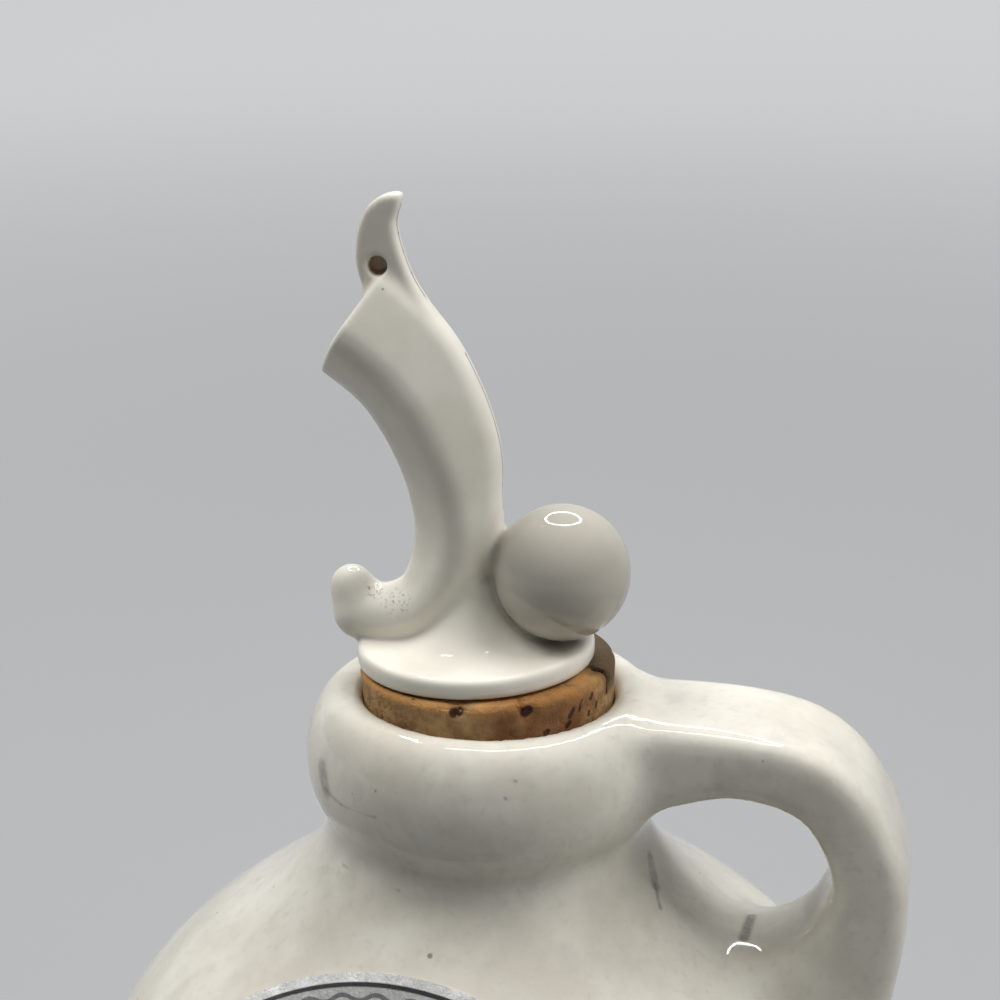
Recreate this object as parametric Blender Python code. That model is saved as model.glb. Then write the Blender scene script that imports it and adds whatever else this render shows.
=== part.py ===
"""Glazed stoneware jug with a loop handle, a bored cork and a porcelain horn pourer.

Metres, +Z up. The origin is the centre of the foot, on the table. The handle points along +X,
and the label faces -Y. Heights of the stopper and the pourer are measured from the seat, the
circle on the lip where the cork bears.
"""

import math

import bmesh
import bpy
from mathutils import Vector

# Clearances and roundness
PIECE_GAP = 0.0003
CUT_OVERRUN = 0.004
BODY_SEGMENTS = 60
CORK_SEGMENTS = 40
FLANGE_SEGMENTS = 48
TUBE_SEGMENTS = 18
HANDLE_SEGMENTS = 20
PIN_SEGMENTS = 16
BALL_SEGMENTS = 24
BALL_STEPS = 16

# Jug body, outside
JUG_HEIGHT = 0.1577
BELLY_RADIUS = 0.0610
BELLY_HEIGHT_SHARE = 0.501
SHOULDER_DROP = 0.0247
SHOULDER_START_RADIUS = 0.0360
FOOT_RADIUS = 0.0500
FOOT_ROUND = 0.0025
FOOT_RING_WIDTH = 0.0060
FOOT_RECESS = 0.0018

# Ring at the mouth, and the waist under it
RING_RADIUS = 0.0249
RING_CREST_RADIUS = 0.0194
RING_HALF_HEIGHT = 0.0094
RING_END_ANGLE = -50
LIP_ROUND = 0.0020
SEAT_DROP = 0.0014
WAIST_RADIUS = 0.0223
WAIST_DROP = 0.0197
WAIST_TIGHTNESS = 0.0042
SHOULDER_SWEEP = 0.0080

# Jug body, inside
WALL = 0.0050
FLOOR = 0.0060
NECK_DEPTH = 0.0285
NECK_FLARE = 0.0040
INNER_SHOULDER_RADIUS = 0.0260

# Handle. Each row of shares holds the reach of the strap's middle, as a share of the handle's
# reach, its drop, as a share of the fall from the ring's crest to the landing on the shoulder,
# and the strap's thickness and width there
HANDLE_REACH = 0.0528
HANDLE_THICKNESS = 0.0148
HANDLE_WIDTH = 0.0184
HANDLE_LANDING_SHARE = 0.84
HANDLE_SHARES = (
    (0.370, 0.16, 0.74, 0.98),
    (0.426, 0.142, 0.93, 1.0),
    (0.511, 0.132, 1.0, 1.0),
    (0.644, 0.128, 0.96, 0.99),
    (0.786, 0.158, 0.87, 0.98),
    (0.884, 0.232, 0.80, 0.98),
    (0.953, 0.355, 0.76, 0.98),
    (0.989, 0.50, 0.74, 0.98),
    (0.996, 0.633, 0.73, 0.98),
    (0.981, 0.748, 0.78, 1.0),
    (0.934, 0.846, 1.08, 1.09),
    (0.871, 0.942, 1.6, 1.24),
    (0.814, 1.074, 1.97, 1.39),
    (0.786, 1.186, 2.03, 1.41),
)
HANDLE_STEPS = 2
HANDLE_SQUARENESS = 2.3

# Cork
STOPPER_LEAN = 2.1
CORK_TOP_RADIUS = 0.0172
CORK_BOTTOM_RADIUS = 0.0156
CORK_STANDS = 0.0050
CORK_LENGTH = 0.0270
CORK_EDGE = 0.0008

# Pourer foot: the flange, its swelling and the stem
STEM_OFFSET = 0.0015
STEM_RADIUS = 0.0060
STEM_BORE_RADIUS = 0.0038
STEM_BELOW_CORK = 0.0020
FLANGE_RADIUS = 0.0160
FLANGE_THICKNESS = 0.0027
FLANGE_EDGE = 0.0006
SWELL_HEIGHT = 0.0062
SWELL_RADIUS = 0.0046
SWELL_POWER = 2.4
SWELL_TIP_RADIUS = 0.0034
SWELL_TIP_HEIGHT = 0.0022

# Pourer horn. Each row of shares holds the reach of the tube's middle, as a share of the mouth's
# reach, its height over the flange's rim, as a share of the horn's height, the radius, from 0 at
# the curl to 1 at the mouth, and the share of the keel that stands out on the tube's back
HORN_HEIGHT = 0.0427
MOUTH_REACH = 0.0152
MOUTH_RADIUS = 0.00705
MOUTH_TILT = 36
CURL_RADIUS = 0.0039
KEEL = 0.0022
HORN_SHARES = (
    (1.07, 0.077, 0.0, 0.0),
    (0.80, 0.065, 0.06, 0.0),
    (0.55, 0.087, 0.20, 0.0),
    (0.355, 0.138, 0.35, 0.0),
    (0.20, 0.239, 0.49, 0.0),
    (0.125, 0.361, 0.62, 0.0),
    (0.138, 0.473, 0.73, 0.2),
    (0.20, 0.60, 0.89, 0.4),
    (0.37, 0.742, 0.94, 0.7),
    (0.62, 0.871, 0.97, 1.0),
    (1.0, 1.0, 1.0, 0.0),
)
HORN_STEPS = 3
KNOB_RADIUS = 0.0035
KNOB_LEAN = 11
KNOB_SEAT_SHARE = 0.64
CHANNEL_MOUTH_RADIUS = 0.0053
CHANNEL_SHAFT_RADIUS = 0.0044
CHANNEL_BEND_SHARES = ((0.5, 0.61), (0.95, 0.89))
CHANNEL_STEPS = 4

# Ear above the mouth, in the horn's middle plane. The places are shares of the ear's height,
# counted from the middle of the mouth
EAR_HEIGHT = 0.0170
EAR_THICKNESS = 0.0062
EAR_HOLE_RADIUS = 0.0012
EAR_HOLE_SHARES = (0.285, 0.465)
EAR_SPINE_SHARES = ((0.376, 0.135), (0.288, 0.83))
EAR_LAYER_SHARES = ((0.38, 1.0), (0.18, 0.86), (0.05, 0.6), (0.0, 0.25))
EAR_SHARES = (
    (0.182, 0.247),
    (0.124, 0.406),
    (0.10, 0.559),
    (0.106, 0.735),
    (0.147, 0.876),
    (0.247, 0.965),
    (0.388, 1.0),
    (0.465, 0.941),
    (0.465, 0.724),
    (0.50, 0.547),
    (0.588, 0.329),
    (0.682, 0.17),
    (0.72, 0.012),
    (0.612, -0.218),
    (0.306, -0.129),
)
EAR_STEPS = 3

# Ball beside the horn
BALL_RADIUS = 0.0092
BALL_REACH = 0.0123
BALL_LIFT = 0.0005

# Label on the shoulder, an oval
LABEL_AZIMUTH = -97.5
LABEL_CENTRE_RADIUS = 0.0455
LABEL_WIDTH = 0.0660
LABEL_HEIGHT = 0.0428
LABEL_THICKNESS = 0.0008
LABEL_SEGMENTS = 40
LABEL_RINGS = 5


def clear_scene():
    for old in list(bpy.data.objects):
        bpy.data.objects.remove(old, do_unlink=True)


def glaze(name, colour, roughness, metallic=0.0):
    """A Principled material in one colour."""
    material = bpy.data.materials.new(name)
    material.use_nodes = True
    shader = material.node_tree.nodes["Principled BSDF"]
    shader.inputs["Base Color"].default_value = (*colour, 1.0)
    shader.inputs["Roughness"].default_value = roughness
    shader.inputs["Metallic"].default_value = metallic
    return material


def arc(centre, radii, start, stop, steps):
    """Points on an ellipse in the radius-height plane, from one angle in degrees to another."""
    angles = [math.radians(start + (stop - start) * i / steps) for i in range(steps + 1)]
    return [
        (centre[0] + radii[0] * math.cos(a), centre[1] + radii[1] * math.sin(a)) for a in angles
    ]


def bezier(p0, p1, p2, p3, steps):
    """Points on a cubic Bezier curve, both ends included."""
    points = []
    for i in range(steps + 1):
        t = i / steps
        weights = ((1 - t) ** 3, 3 * t * (1 - t) ** 2, 3 * t * t * (1 - t), t**3)
        points.append(
            tuple(sum(w * p[k] for w, p in zip(weights, (p0, p1, p2, p3))) for k in (0, 1))
        )
    return points


def smooth_path(knots, steps):
    """A Catmull-Rom curve through the knots, with the given number of steps between two of them.

    A knot may hold more than two numbers, such as the tube's radius there.
    """
    first = tuple(2 * a - b for a, b in zip(knots[0], knots[1]))
    last = tuple(2 * a - b for a, b in zip(knots[-1], knots[-2]))
    held = [first, *knots, last]
    points = []
    for p0, p1, p2, p3 in zip(held, held[1:], held[2:], held[3:]):
        for i in range(steps):
            t = i / steps
            points.append(
                tuple(
                    0.5
                    * (
                        2 * b
                        + (c - a) * t
                        + (2 * a - 5 * b + 4 * c - d) * t * t
                        + (3 * b - a - 3 * c + d) * t**3
                    )
                    for a, b, c, d in zip(p0, p1, p2, p3)
                )
            )
    return [*points, tuple(knots[-1])]


def offset(profile, distance):
    """The profile moved to its right side, seen along its direction, by a distance."""
    moved = []
    for i, (r, z) in enumerate(profile):
        before = profile[max(i - 1, 0)]
        after = profile[min(i + 1, len(profile) - 1)]
        along = Vector((after[0] - before[0], after[1] - before[1])).normalized()
        moved.append((max(r - along.y * distance, 0.0), z + along.x * distance))
    return moved


def finish_mesh(name, bm, material):
    """Turns the bmesh into a named, smoothly shaded object at the origin."""
    bmesh.ops.recalc_face_normals(bm, faces=bm.faces)
    mesh = bpy.data.meshes.new(name)
    bm.to_mesh(mesh)
    bm.free()
    mesh.shade_smooth()
    mesh.set_sharp_from_angle(angle=math.radians(40))
    if material:
        mesh.materials.append(material)
    obj = bpy.data.objects.new(name, mesh)
    bpy.context.scene.collection.objects.link(obj)
    return obj


def turned(name, profile, segments, material=None):
    """Spins a radius-height profile round Z. Points at radius zero become single poles."""
    bm = bmesh.new()
    points = [bm.verts.new((r, 0.0, z)) for r, z in profile]
    edges = [bm.edges.new(pair) for pair in zip(points, points[1:])]
    bmesh.ops.spin(
        bm,
        geom=points + edges,
        cent=(0, 0, 0),
        axis=(0, 0, 1),
        angle=math.tau,
        steps=segments,
        use_merge=True,
    )
    bmesh.ops.remove_doubles(bm, verts=bm.verts, dist=PIECE_GAP / 100)
    return finish_mesh(name, bm, material)


def lofted(name, rings, material=None, start_pole=None, end_pole=None):
    """Joins rings of points with faces. Each end is closed by a flat face or by a pole."""
    bm = bmesh.new()
    rows = [[bm.verts.new(p) for p in ring] for ring in rings]
    count = len(rows[0])
    for a, b in zip(rows, rows[1:]):
        for i in range(count):
            j = (i + 1) % count
            bm.faces.new((a[i], a[j], b[j], b[i]))
    for row, pole in ((rows[0], start_pole), (rows[-1], end_pole)):
        if pole is None:
            bm.faces.new(row)
            continue
        tip = bm.verts.new(pole)
        for i in range(count):
            bm.faces.new((row[i], row[(i + 1) % count], tip))
    return finish_mesh(name, bm, material)


def tube_rings(path, section, segments):
    """Rings across a path in the XZ plane. Section gives a ring's sizes at a path index.

    They are its half width along Y, its half thickness in the plane, the exponent of the
    superellipse that it follows, and how far a keel stands out on its right side.
    """
    rings = []
    for i, point in enumerate(path):
        before = path[max(i - 1, 0)]
        after = path[min(i + 1, len(path) - 1)]
        along = Vector((after[0] - before[0], 0.0, after[1] - before[1])).normalized()
        rings.append(ring_across(point, along, section(i), segments))
    return rings


def ring_across(point, along, sizes, segments):
    """One closed ring of points at right angles to a direction in the XZ plane."""
    wide, thick, power, keel = sizes
    across = Vector((0.0, 1.0, 0.0)).cross(along)
    centre = Vector((point[0], 0.0, point[1]))
    ring = []
    for k in range(segments):
        angle = math.tau * k / segments
        c, s = math.cos(angle), math.sin(angle)
        y = math.copysign(abs(c) ** (2 / power), c) * wide
        t = math.copysign(abs(s) ** (2 / power), s) * thick + keel * max(s, 0.0) ** 3
        ring.append(centre + Vector((0.0, y, 0.0)) + across * t)
    return ring


def cut(target, cutter, operation="DIFFERENCE"):
    """Applies a Boolean to the target with a cutter that stays out of the model."""
    cutter.hide_render = True
    cutter.display_type = "WIRE"
    modifier = target.modifiers.new(cutter.name, "BOOLEAN")
    modifier.object = cutter
    modifier.operation = operation
    modifier.solver = "EXACT"


def place(obj, parent):
    obj.parent = parent
    return obj


def belly_height():
    """Height of the widest place of the jug."""
    return JUG_HEIGHT * BELLY_HEIGHT_SHARE


def shoulder_rise(wall=0.0):
    """Height of the shoulder's ellipse over the belly, or of the same ellipse a wall further in."""
    return JUG_HEIGHT - SHOULDER_DROP - belly_height() - wall


def shoulder_height(radius, wall=0.0):
    """Height of the shoulder at a radius, or of its inside a wall further in."""
    share = radius / (BELLY_RADIUS - wall)
    return belly_height() + shoulder_rise(wall) * math.sqrt(1 - share * share)


def shoulder_slope(radius, wall=0.0):
    """How far the shoulder's ellipse falls for each step outwards at a radius."""
    ratio = shoulder_rise(wall) / (BELLY_RADIUS - wall)
    return ratio**2 * radius / (shoulder_height(radius, wall) - belly_height())


def outer_profile():
    """The jug's outside, from the crest of the ring down to the edge of the foot."""
    ring_centre = (RING_CREST_RADIUS, JUG_HEIGHT - RING_HALF_HEIGHT)
    ring_radii = (RING_RADIUS - RING_CREST_RADIUS, RING_HALF_HEIGHT)
    ring = arc(ring_centre, ring_radii, 90, RING_END_ANGLE, 12)
    ring_end = ring[-1]
    leaving = Vector(ring_end) - Vector(ring[-2])
    leaving = leaving.normalized() * WAIST_TIGHTNESS / 2
    waist = (WAIST_RADIUS, JUG_HEIGHT - WAIST_DROP)
    under_ring = bezier(
        ring_end,
        (ring_end[0] + leaving.x, ring_end[1] + leaving.y),
        (waist[0], waist[1] + WAIST_TIGHTNESS / 4),
        waist,
        3,
    )
    landing = (SHOULDER_START_RADIUS, shoulder_height(SHOULDER_START_RADIUS))
    back = Vector((-1.0, shoulder_slope(SHOULDER_START_RADIUS))).normalized() * SHOULDER_SWEEP
    sweep = bezier(
        waist,
        (waist[0], waist[1] - WAIST_TIGHTNESS),
        (landing[0] + back.x, landing[1] + back.y),
        landing,
        6,
    )
    start = math.degrees(math.acos(SHOULDER_START_RADIUS / BELLY_RADIUS))
    belly = (0.0, belly_height())
    shoulder = arc(belly, (BELLY_RADIUS, shoulder_rise()), start, 0, 8)
    foot_share = FOOT_RADIUS / BELLY_RADIUS
    lower_drop = (belly_height() - FOOT_ROUND) / math.sqrt(1 - foot_share**2)
    stop = -math.degrees(math.acos(foot_share))
    side = arc(belly, (BELLY_RADIUS, lower_drop), 0, stop, 6)
    edge_centre = (FOOT_RADIUS - FOOT_ROUND, FOOT_ROUND)
    edge = arc(edge_centre, (FOOT_ROUND, FOOT_ROUND), 0, -90, 3)
    return [*ring, *under_ring[1:], *sweep[1:], *shoulder[1:], *side[1:], *edge[1:]]


def cork_radius(height):
    """Radius of the tapered cork at a height above the seat."""
    share = (CORK_STANDS - height) / CORK_LENGTH
    return CORK_TOP_RADIUS + (CORK_BOTTOM_RADIUS - CORK_TOP_RADIUS) * share


def bore_radius(depth):
    """Radius of the neck's bore at a depth under the ring's crest, clear of the leaning cork."""
    height = SEAT_DROP - depth
    shift = abs(height) * math.sin(math.radians(STOPPER_LEAN))
    return cork_radius(height) / math.cos(math.radians(STOPPER_LEAN)) + shift + PIECE_GAP


def inner_profile():
    """The jug's inside, from the middle of its floor up to the lip's crest."""
    inner_radius = BELLY_RADIUS - WALL
    floor_radius = FOOT_RADIUS - WALL
    share = floor_radius / inner_radius
    lower_drop = (belly_height() - FLOOR - WALL) / math.sqrt(1 - share**2)
    corner = arc((floor_radius - WALL, FLOOR + WALL), (WALL, WALL), -90, 0, 3)
    belly = (0.0, belly_height())
    side = arc(belly, (inner_radius, lower_drop), -math.degrees(math.acos(share)), 0, 5)
    stop = math.degrees(math.acos(INNER_SHOULDER_RADIUS / inner_radius))
    shoulder = arc(belly, (inner_radius, shoulder_rise(WALL)), 0, stop, 7)
    top = shoulder[-1]
    back = Vector((-1.0, shoulder_slope(INNER_SHOULDER_RADIUS, WALL))).normalized() * NECK_FLARE
    throat = (bore_radius(NECK_DEPTH), JUG_HEIGHT - NECK_DEPTH)
    flare = bezier(
        top,
        (top[0] + back.x, top[1] + back.y),
        (throat[0], throat[1] - NECK_FLARE),
        throat,
        4,
    )
    lip_centre = (RING_CREST_RADIUS, JUG_HEIGHT - LIP_ROUND)
    lip_radii = (RING_CREST_RADIUS - bore_radius(LIP_ROUND), LIP_ROUND)
    lip = arc(lip_centre, lip_radii, 180, 90, 4)
    return [(0.0, FLOOR), *corner, *side[1:], *shoulder[1:], *flare[1:], *lip]


def jug_body(material):
    ring_inside = FOOT_RADIUS - FOOT_ROUND - FOOT_RING_WIDTH
    underside = [
        (ring_inside, 0.0),
        (ring_inside - FOOT_RECESS, FOOT_RECESS),
        (0.0, FOOT_RECESS),
    ]
    outside = outer_profile()
    profile = [*inner_profile(), *outside[1:], *underside]
    return turned("jug_body", profile, BODY_SEGMENTS, material)


def body_envelope(distance):
    """The jug's outside as a solid, grown by a distance, to trim what is luted on to it."""
    outside = offset(outer_profile(), distance)
    profile = [(0.0, outside[0][1]), *outside, (0.0, outside[-1][1])]
    return turned("body_envelope", profile, BODY_SEGMENTS)


def jug_handle(material):
    fall = JUG_HEIGHT - shoulder_height(HANDLE_REACH * HANDLE_LANDING_SHARE)
    path = smooth_path(HANDLE_SHARES, HANDLE_STEPS)
    middle = [(HANDLE_REACH * reach, JUG_HEIGHT - fall * drop) for reach, drop, _, _ in path]

    def section(i):
        _, _, thick, wide = path[i]
        return HANDLE_WIDTH / 2 * wide, HANDLE_THICKNESS / 2 * thick, HANDLE_SQUARENESS, 0.0

    rings = tube_rings(middle, section, HANDLE_SEGMENTS)
    handle = lofted("jug_handle", rings, material)
    cut(handle, body_envelope(PIECE_GAP))
    return handle


def cork_stopper(material, seat):
    top = CORK_STANDS
    bottom = CORK_STANDS - CORK_LENGTH
    edge_radius = cork_radius(top - CORK_EDGE)
    edge = arc((edge_radius - CORK_EDGE, top - CORK_EDGE), (CORK_EDGE, CORK_EDGE), 90, 0, 4)
    profile = [
        (0.0, top),
        *edge,
        (cork_radius(bottom + CORK_EDGE), bottom + CORK_EDGE),
        (cork_radius(bottom) - CORK_EDGE, bottom),
        (0.0, bottom),
    ]
    cork = place(turned("cork_stopper", profile, CORK_SEGMENTS, material), seat)
    low, high = bottom - CUT_OVERRUN, top + CUT_OVERRUN
    drill = round_bar("cork_drill", STEM_RADIUS + PIECE_GAP, low, high, CORK_SEGMENTS)
    drill.location.x = -STEM_OFFSET
    cut(cork, place(drill, seat))
    return cork


def round_bar(name, radius, low, high, segments):
    return turned(name, [(0.0, high), (radius, high), (radius, low), (0.0, low)], segments)


def swell_height(radius):
    """Height of the flange's upper side above its rim: low outside, steep near the middle."""
    share = (FLANGE_RADIUS - radius) / (FLANGE_RADIUS - SWELL_RADIUS)
    return SWELL_HEIGHT * min(max(share, 0.0), 1.0) ** SWELL_POWER


def pourer_foot(material, stem):
    low = CORK_STANDS + PIECE_GAP
    rim_top = rim_height()
    stem_end = CORK_STANDS - CORK_LENGTH - STEM_BELOW_CORK
    steps = 10
    rim = FLANGE_RADIUS - FLANGE_EDGE
    swell = [SWELL_RADIUS + (rim - SWELL_RADIUS) * i / steps for i in range(steps + 1)]
    edge = arc((rim, rim_top - FLANGE_EDGE), (FLANGE_EDGE, FLANGE_EDGE), 90, 0, 3)
    profile = [
        (0.0, rim_top + SWELL_HEIGHT + SWELL_TIP_HEIGHT),
        (SWELL_TIP_RADIUS, rim_top + SWELL_HEIGHT + SWELL_TIP_HEIGHT),
        *[(r, rim_top + swell_height(r)) for r in swell],
        *edge[1:],
        (FLANGE_RADIUS, low),
        (STEM_RADIUS, low),
        (STEM_RADIUS, stem_end),
        (0.0, stem_end),
    ]
    foot = place(turned("pourer_foot", profile, FLANGE_SEGMENTS, material), stem)
    cut(foot, place(horn_tube("horn_socket", PIECE_GAP), stem))
    cut(foot, place(ball("ball_socket", ball_centre(), BALL_RADIUS + PIECE_GAP), stem))
    cut(foot, place(channel("foot_channel"), stem))
    return foot


def rim_height():
    """Height of the flange's upper edge above the seat."""
    return CORK_STANDS + PIECE_GAP + FLANGE_THICKNESS


def horn_path():
    """The tube's middle line as reach, height, radius and keel, from the curl to the mouth."""
    return [
        (
            -MOUTH_REACH * reach,
            rim_height() + HORN_HEIGHT * height,
            CURL_RADIUS + (MOUTH_RADIUS - CURL_RADIUS) * size,
            KEEL * keel,
        )
        for reach, height, size, keel in smooth_path(HORN_SHARES, HORN_STEPS)
    ]


def horn_tube(name, growth, material=None):
    """The curled horn as a solid tube, with a round end at the curl and a flat one at the mouth."""
    path = horn_path()

    def section(i):
        radius = path[i][2] + growth
        return radius, radius, 2, path[i][3]

    rings = tube_rings([(x, z) for x, z, _, _ in path], section, TUBE_SEGMENTS)
    tilt = math.radians(MOUTH_TILT)
    aim = Vector((-math.cos(tilt), 0.0, math.sin(tilt)))
    rings[-1] = ring_across(path[-1], aim, section(-1), TUBE_SEGMENTS)
    curl = Vector((path[0][0], 0.0, path[0][1]))
    along = (Vector((path[1][0], 0.0, path[1][1])) - curl).normalized()
    radius = CURL_RADIUS + growth
    caps = []
    for lift in (60, 30):
        centre = curl - along * radius * math.sin(math.radians(lift))
        small = radius * math.cos(math.radians(lift))
        caps.append(ring_across((centre.x, centre.z), along, (small, small, 2, 0), TUBE_SEGMENTS))
    return lofted(name, [*caps, *rings], material, start_pole=curl - along * radius)


def knob_centre():
    """The knob grows from the curl's round end, leaning away from the horn."""
    curl = horn_path()[0]
    lean = math.radians(KNOB_LEAN)
    seat = CURL_RADIUS * KNOB_SEAT_SHARE
    return curl[0] - seat * math.sin(lean), curl[1] + seat * math.cos(lean)


def channel(name):
    """The way the drink takes: up the stem, through the horn and out of its mouth."""
    tilt = math.radians(MOUTH_TILT)
    path = horn_path()
    bend, necking, shaft, sweep_low, sweep = (path[HORN_STEPS * k][:2] for k in (4, 5, 7, 8, 9))
    low = CORK_STANDS - CORK_LENGTH - STEM_BELOW_CORK - CUT_OVERRUN
    mouth = path[-1][:2]
    past_mouth = (
        mouth[0] - CUT_OVERRUN * math.cos(tilt),
        mouth[1] + CUT_OVERRUN * math.sin(tilt),
    )
    knots = [
        (0.0, low, STEM_BORE_RADIUS),
        (0.0, CORK_STANDS, STEM_BORE_RADIUS),
        *((bend[0] * x, bend[1] * z, STEM_BORE_RADIUS) for x, z in CHANNEL_BEND_SHARES),
        (*necking, (STEM_BORE_RADIUS + CHANNEL_SHAFT_RADIUS) / 2),
        (*shaft, CHANNEL_SHAFT_RADIUS),
        (*sweep_low, CHANNEL_SHAFT_RADIUS),
        (*sweep, (CHANNEL_SHAFT_RADIUS + CHANNEL_MOUTH_RADIUS) / 2),
        (*mouth, CHANNEL_MOUTH_RADIUS),
        (*past_mouth, CHANNEL_MOUTH_RADIUS),
    ]
    line = smooth_path(knots, CHANNEL_STEPS)
    rings = tube_rings(
        [(x, z) for x, z, _ in line], lambda i: (line[i][2], line[i][2], 2, 0.0), TUBE_SEGMENTS
    )
    return lofted(name, rings)


def ear_point(shares):
    """A place on the ear, from its shares of the ear's height."""
    mouth = horn_path()[-1]
    return Vector((mouth[0] + EAR_HEIGHT * shares[0], mouth[1] + EAR_HEIGHT * shares[1]))


def toward_spine(point, share):
    """A point of the ear's outline moved by a share of the way to the ear's middle line."""
    low, high = (ear_point(end) for end in EAR_SPINE_SHARES)
    spine = high - low
    t = (point - low).dot(spine) / spine.length_squared
    nearest = low + spine * min(max(t, 0.0), 1.0)
    return point.lerp(nearest, share)


def ear(name):
    """The ear: a thick plate with rounded rims in the horn's plane."""
    around = smooth_path([*EAR_SHARES, EAR_SHARES[0]], EAR_STEPS)[:-1]
    outline = [ear_point(shares) for shares in around]
    half = EAR_THICKNESS / 2
    rings = []
    for side, layers in ((-1, EAR_LAYER_SHARES), (1, EAR_LAYER_SHARES[::-1])):
        for inward, height in layers:
            moved = [toward_spine(p, inward) for p in outline]
            rings.append([Vector((p.x, side * half * height, p.y)) for p in moved])
    return lofted(name, rings)


def pourer_horn(material, stem):
    horn = place(horn_tube("pourer_horn", 0.0, material), stem)
    pierced = place(ear("ear"), stem)
    pin = round_bar("ear_pin_drill", EAR_HOLE_RADIUS, -EAR_THICKNESS, EAR_THICKNESS, PIN_SEGMENTS)
    hole = ear_point(EAR_HOLE_SHARES)
    pin.location = (hole.x, 0.0, hole.y)
    pin.rotation_euler.x = math.pi / 2
    cut(pierced, place(pin, stem))
    cut(horn, place(ball("curl_knob", knob_centre(), KNOB_RADIUS), stem), "UNION")
    cut(horn, pierced, "UNION")
    cut(horn, place(channel("horn_channel"), stem))
    return horn


def ball(name, centre, radius, material=None):
    """A ball in the horn's plane, with its centre given as reach and height."""
    half = arc(centre, (radius, radius), 90, -90, BALL_STEPS)
    profile = [(0.0, half[0][1]), *[(r - centre[0], z) for r, z in half[1:-1]], (0.0, half[-1][1])]
    obj = turned(name, profile, BALL_SEGMENTS, material)
    obj.location.x = centre[0]
    return obj


def ball_centre():
    return BALL_REACH, rim_height() + BALL_LIFT + BALL_RADIUS


def pourer_ball(material, stem):
    obj = place(ball("pourer_ball", ball_centre(), BALL_RADIUS, material), stem)
    cut(obj, place(horn_tube("ball_trim", PIECE_GAP), stem))
    return obj


def radius_at(profile, height):
    """Outside radius of the turned body at a height."""
    for (r0, z0), (r1, z1) in zip(profile, profile[1:]):
        if z1 <= height <= z0 and z0 > z1:
            return r0 + (r1 - r0) * (z0 - height) / (z0 - z1)
    return 0.0


def laid_on(profile, point, inward, reach):
    """Where a line through a point meets the turned body, by halving the search each time."""
    low, high = -reach, reach
    while high - low > PIECE_GAP / 100:
        middle = (low + high) / 2
        tried = point + inward * middle
        if math.hypot(tried.x, tried.y) < radius_at(profile, tried.z):
            high = middle
        else:
            low = middle
    return point + inward * high


def label(material):
    """A thin oval plate laid on the shoulder, a gap off the glaze."""
    azimuth = math.radians(LABEL_AZIMUTH)
    outward = Vector((math.cos(azimuth), math.sin(azimuth), 0.0))
    side = Vector((-math.sin(azimuth), math.cos(azimuth), 0.0))
    up_slope = (Vector((0, 0, 1)) * shoulder_slope(LABEL_CENTRE_RADIUS) - outward).normalized()
    inward = up_slope.cross(side).normalized()
    centre = outward * LABEL_CENTRE_RADIUS
    centre.z = shoulder_height(LABEL_CENTRE_RADIUS)
    reach = LABEL_HEIGHT / 2

    def oval(profile, size):
        ring = []
        for k in range(LABEL_SEGMENTS):
            angle = math.tau * k / LABEL_SEGMENTS
            across = side * math.cos(angle) * LABEL_WIDTH / 2
            along = up_slope * math.sin(angle) * LABEL_HEIGHT / 2
            ring.append(laid_on(profile, centre + (across + along) * size, inward, reach))
        return ring

    face = offset(outer_profile(), PIECE_GAP + LABEL_THICKNESS)
    back = offset(outer_profile(), PIECE_GAP)
    sizes = [(i + 1) / LABEL_RINGS for i in range(LABEL_RINGS)]
    rings = [oval(face, size) for size in sizes] + [oval(back, size) for size in sizes[::-1]]
    poles = [laid_on(profile, centre, inward, reach) for profile in (face, back)]
    return lofted("label", rings, material, start_pole=poles[0], end_pole=poles[1])


def main():
    clear_scene()
    stoneware = glaze("stoneware_glaze", (0.66, 0.64, 0.58), 0.18)
    porcelain = glaze("porcelain_glaze", (0.72, 0.70, 0.63), 0.12)
    cork = glaze("natural_cork", (0.45, 0.27, 0.14), 0.8)
    foil = glaze("foil_label", (0.62, 0.62, 0.62), 0.35, 1.0)

    seat = bpy.data.objects.new("stopper_seat", None)
    seat.location = (0.0, 0.0, JUG_HEIGHT - SEAT_DROP)
    seat.rotation_euler.y = -math.radians(STOPPER_LEAN)
    stem = bpy.data.objects.new("stem_axis", None)
    stem.location.x = -STEM_OFFSET
    for empty in (seat, stem):
        bpy.context.scene.collection.objects.link(empty)
    stem.parent = seat

    jug_body(stoneware)
    jug_handle(stoneware)
    label(foil)
    cork_stopper(cork, seat)
    pourer_foot(porcelain, stem)
    pourer_horn(porcelain, stem)
    pourer_ball(porcelain, stem)


main()
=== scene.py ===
# %% [markdown]
# # A glazed stoneware jug with a porcelain horn pourer
# The jug is off-white stoneware under a clear glaze. A cork sits in its mouth, and a white
# porcelain pourer stands in the cork: a flange, a curled horn with an ear, and a ball. The packed
# CAD model fixes every size and place, and each piece made below rides on one of its bodies.

# %% Load the frame
import math

import bpy
import numpy as np
from mathutils import Matrix, Vector


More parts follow.
